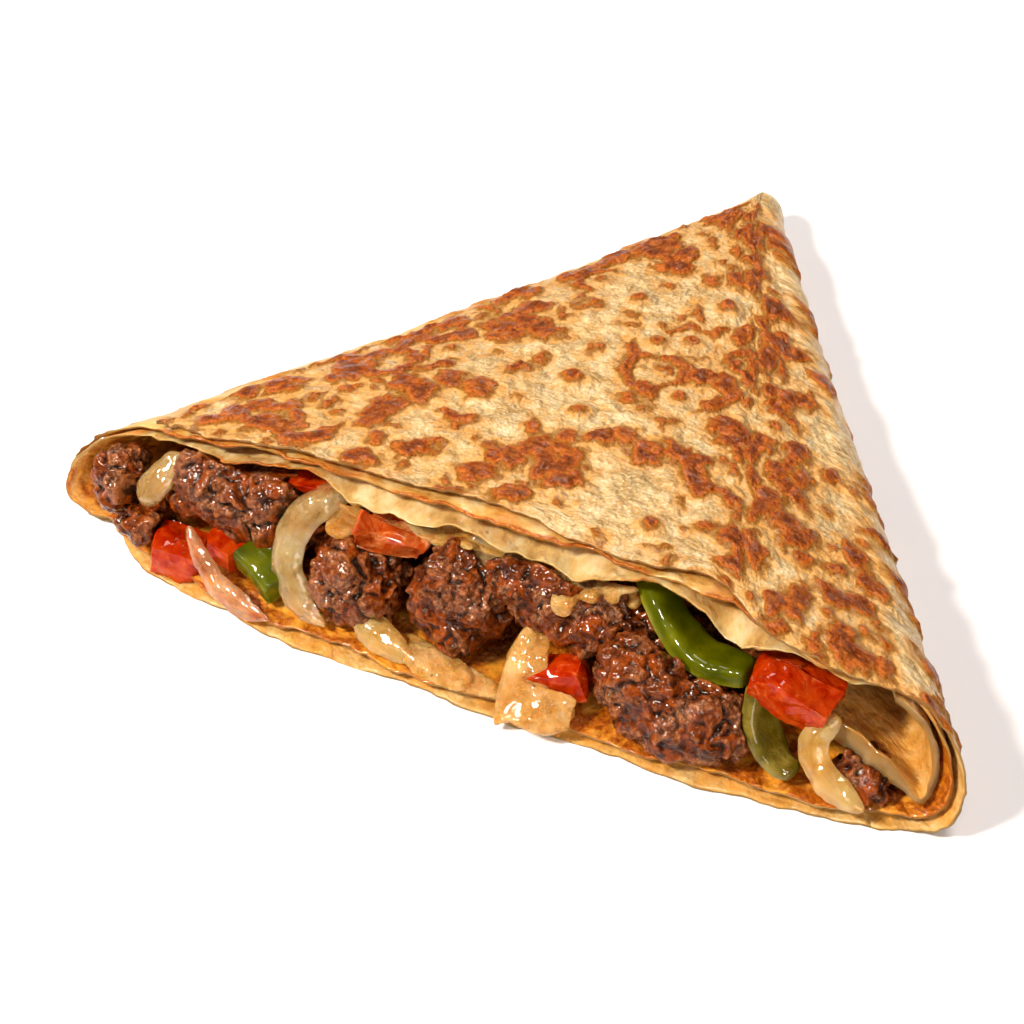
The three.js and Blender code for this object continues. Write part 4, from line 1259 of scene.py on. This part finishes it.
FLAT_FACE = [0, -0.3, 0.95]  # the way that cheese lying on the sheet faces
lip = [under_roof(side, -1.2, 1.2) for side in np.linspace(-0.38, 0.36, 12)]
lip_width = [3, 4.5, 3.4, 3, 4.4, 3.4, 3, 4.6, 3.4, 4.4, 4, 3]
hanging = [cheese_run(lip, lip_width, 1.4, lens=1.4)]
# Runs that hang from the lip: side, how far down, how wide.
for side, low, wide in (
    (-0.37, 6.5, 7), (0.2, 6, 6), (0.25, 3.4, 5), (0.3, 3.4, 4), (0.34, 4.6, 3.6), (-0.06, 2, 4)
):
    path = laid_on([under_roof(side, 0.8, 0.45 * low), under_roof(side, 1.4, low)], meats)
    path = [under_roof(side, -2, 0.9), *path]
    hanging.append(cheese_run(path, [1.3 * wide, wide, 0.7 * wide], [1.2, 1.3, 1.2 + 0.15 * wide]))
over_edge = [[12.4, 1.5, 17], *laid_on([[13.2, -6.5, 13]], meats), [14, -10.4, 7], [16.0, -12.8, 3.2]]
drape = [
    cheese_run(over_edge, [5.5, 7, 10, 9.5], [0.8, 1.2, 2.2, 2.2]),
    cheese_run([[15, -11, 5], [20, -11, 4.6], [24.5, -10.4, 4.4]], [6, 6, 4], 1.8, FLAT_FACE),
]
across_sheet = [[-18, -5.5, 5.2], [-11, -8, 4.8], [-4, -9.4, 4.6], [3, -10.6, 4.5], [9, -11, 4.4]]
puddle = [cheese_run(across_sheet, [4.5, 6.4, 7, 6, 3], 1.5, FLAT_FACE, lens=1.4)]
cheese = cheese_look()
cheese_piece("cheese_1", cheese, hanging, wave=0.4, flat=1)
cheese_piece("cheese_2", cheese, puddle, wave=0.7, flat=0.7)
cheese_piece("cheese_3", cheese, drape, wave=0.5, flat=1)

# ---- floor, light and camera ----
FLOOR_HALF = 3000.0
line = np.linspace(-FLOOR_HALF, FLOOR_HALF, 12)
x, y = np.meshgrid(line, line, indexing="ij")
points = np.stack([x, y, np.zeros_like(x)], axis=-1).reshape(-1, 3)
floor = new_mesh("floor", points, quads(len(line), len(line)))
look = Look("floor_pale", rough=(0.8,))
floor.data.materials.append(look.finish(look.blend(look.noise(400, 2), "#ecf1fe", "#f0f4ff")))
floor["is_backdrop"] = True


def aimed(name, data, target, azimuth, elevation, distance):
    """A light or camera that looks at a target, in metres. Azimuth 0 is in front of the food."""
    a, e = math.radians(azimuth), math.radians(elevation)
    away = Vector((math.sin(a) * math.cos(e), -math.cos(a) * math.cos(e), math.sin(e)))
    thing = bpy.data.objects.new(name, data)
    thing.location = target + away * distance
    thing.rotation_mode = "QUATERNION"
    thing.rotation_quaternion = away.to_track_quat("Z", "Y")
    bpy.context.scene.collection.objects.link(thing)
    return thing


# Name, azimuth, elevation, distance, size, power, colour. The first two only show as glints on
# wet surfaces.
for name, azimuth, elevation, distance, size, power, color in (
    ("glint_left", -80, 42, 1.0, 0.13, 12, "#fff6ea"),
    ("glint_front", 8, 58, 1.0, 0.13, 12, "#fff6ea"),
    ("key", -42, 46, 1.1, 0.19, 17, "#fff1de"),
    ("top", 150, 76, 1.1, 0.3, 4.4, "#fff2e4"),
    ("fill", 42, 26, 1.3, 0.6, 6, "#fff2e4"),
    ("back", 192, 46, 1.2, 0.4, 5.2, "#fff2e4"),
):
    light = bpy.data.lights.new(name, "AREA")
    light.shape, light.size, light.energy = "DISK", size, power
    light.color = linear(color)[:3]
    lamp = aimed(name, light, Vector(), azimuth, elevation, distance)
    if name.startswith("glint"):
        lamp.visible_diffuse = lamp.visible_transmission = False

eye = bpy.data.cameras.new("camera")
eye.lens, eye.sensor_width = 93.0, 36.0
eye.clip_start, eye.clip_end = 0.01, 20
looked_at = (Vector((-7.0, 27.8, 15.0)) - Vector(ORIGIN)) * MM
bpy.context.scene.camera = aimed("camera", eye, looked_at, 24.88, 44.12, 0.56)

world = bpy.data.worlds.new("studio")
world.use_nodes = True
world.node_tree.nodes["Background"].inputs["Color"].default_value = linear("#fff0dc")
world.node_tree.nodes["Background"].inputs["Strength"].default_value = 0.14
bpy.context.scene.world = world
bpy.context.scene.view_settings.view_transform = "Standard"

low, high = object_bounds()
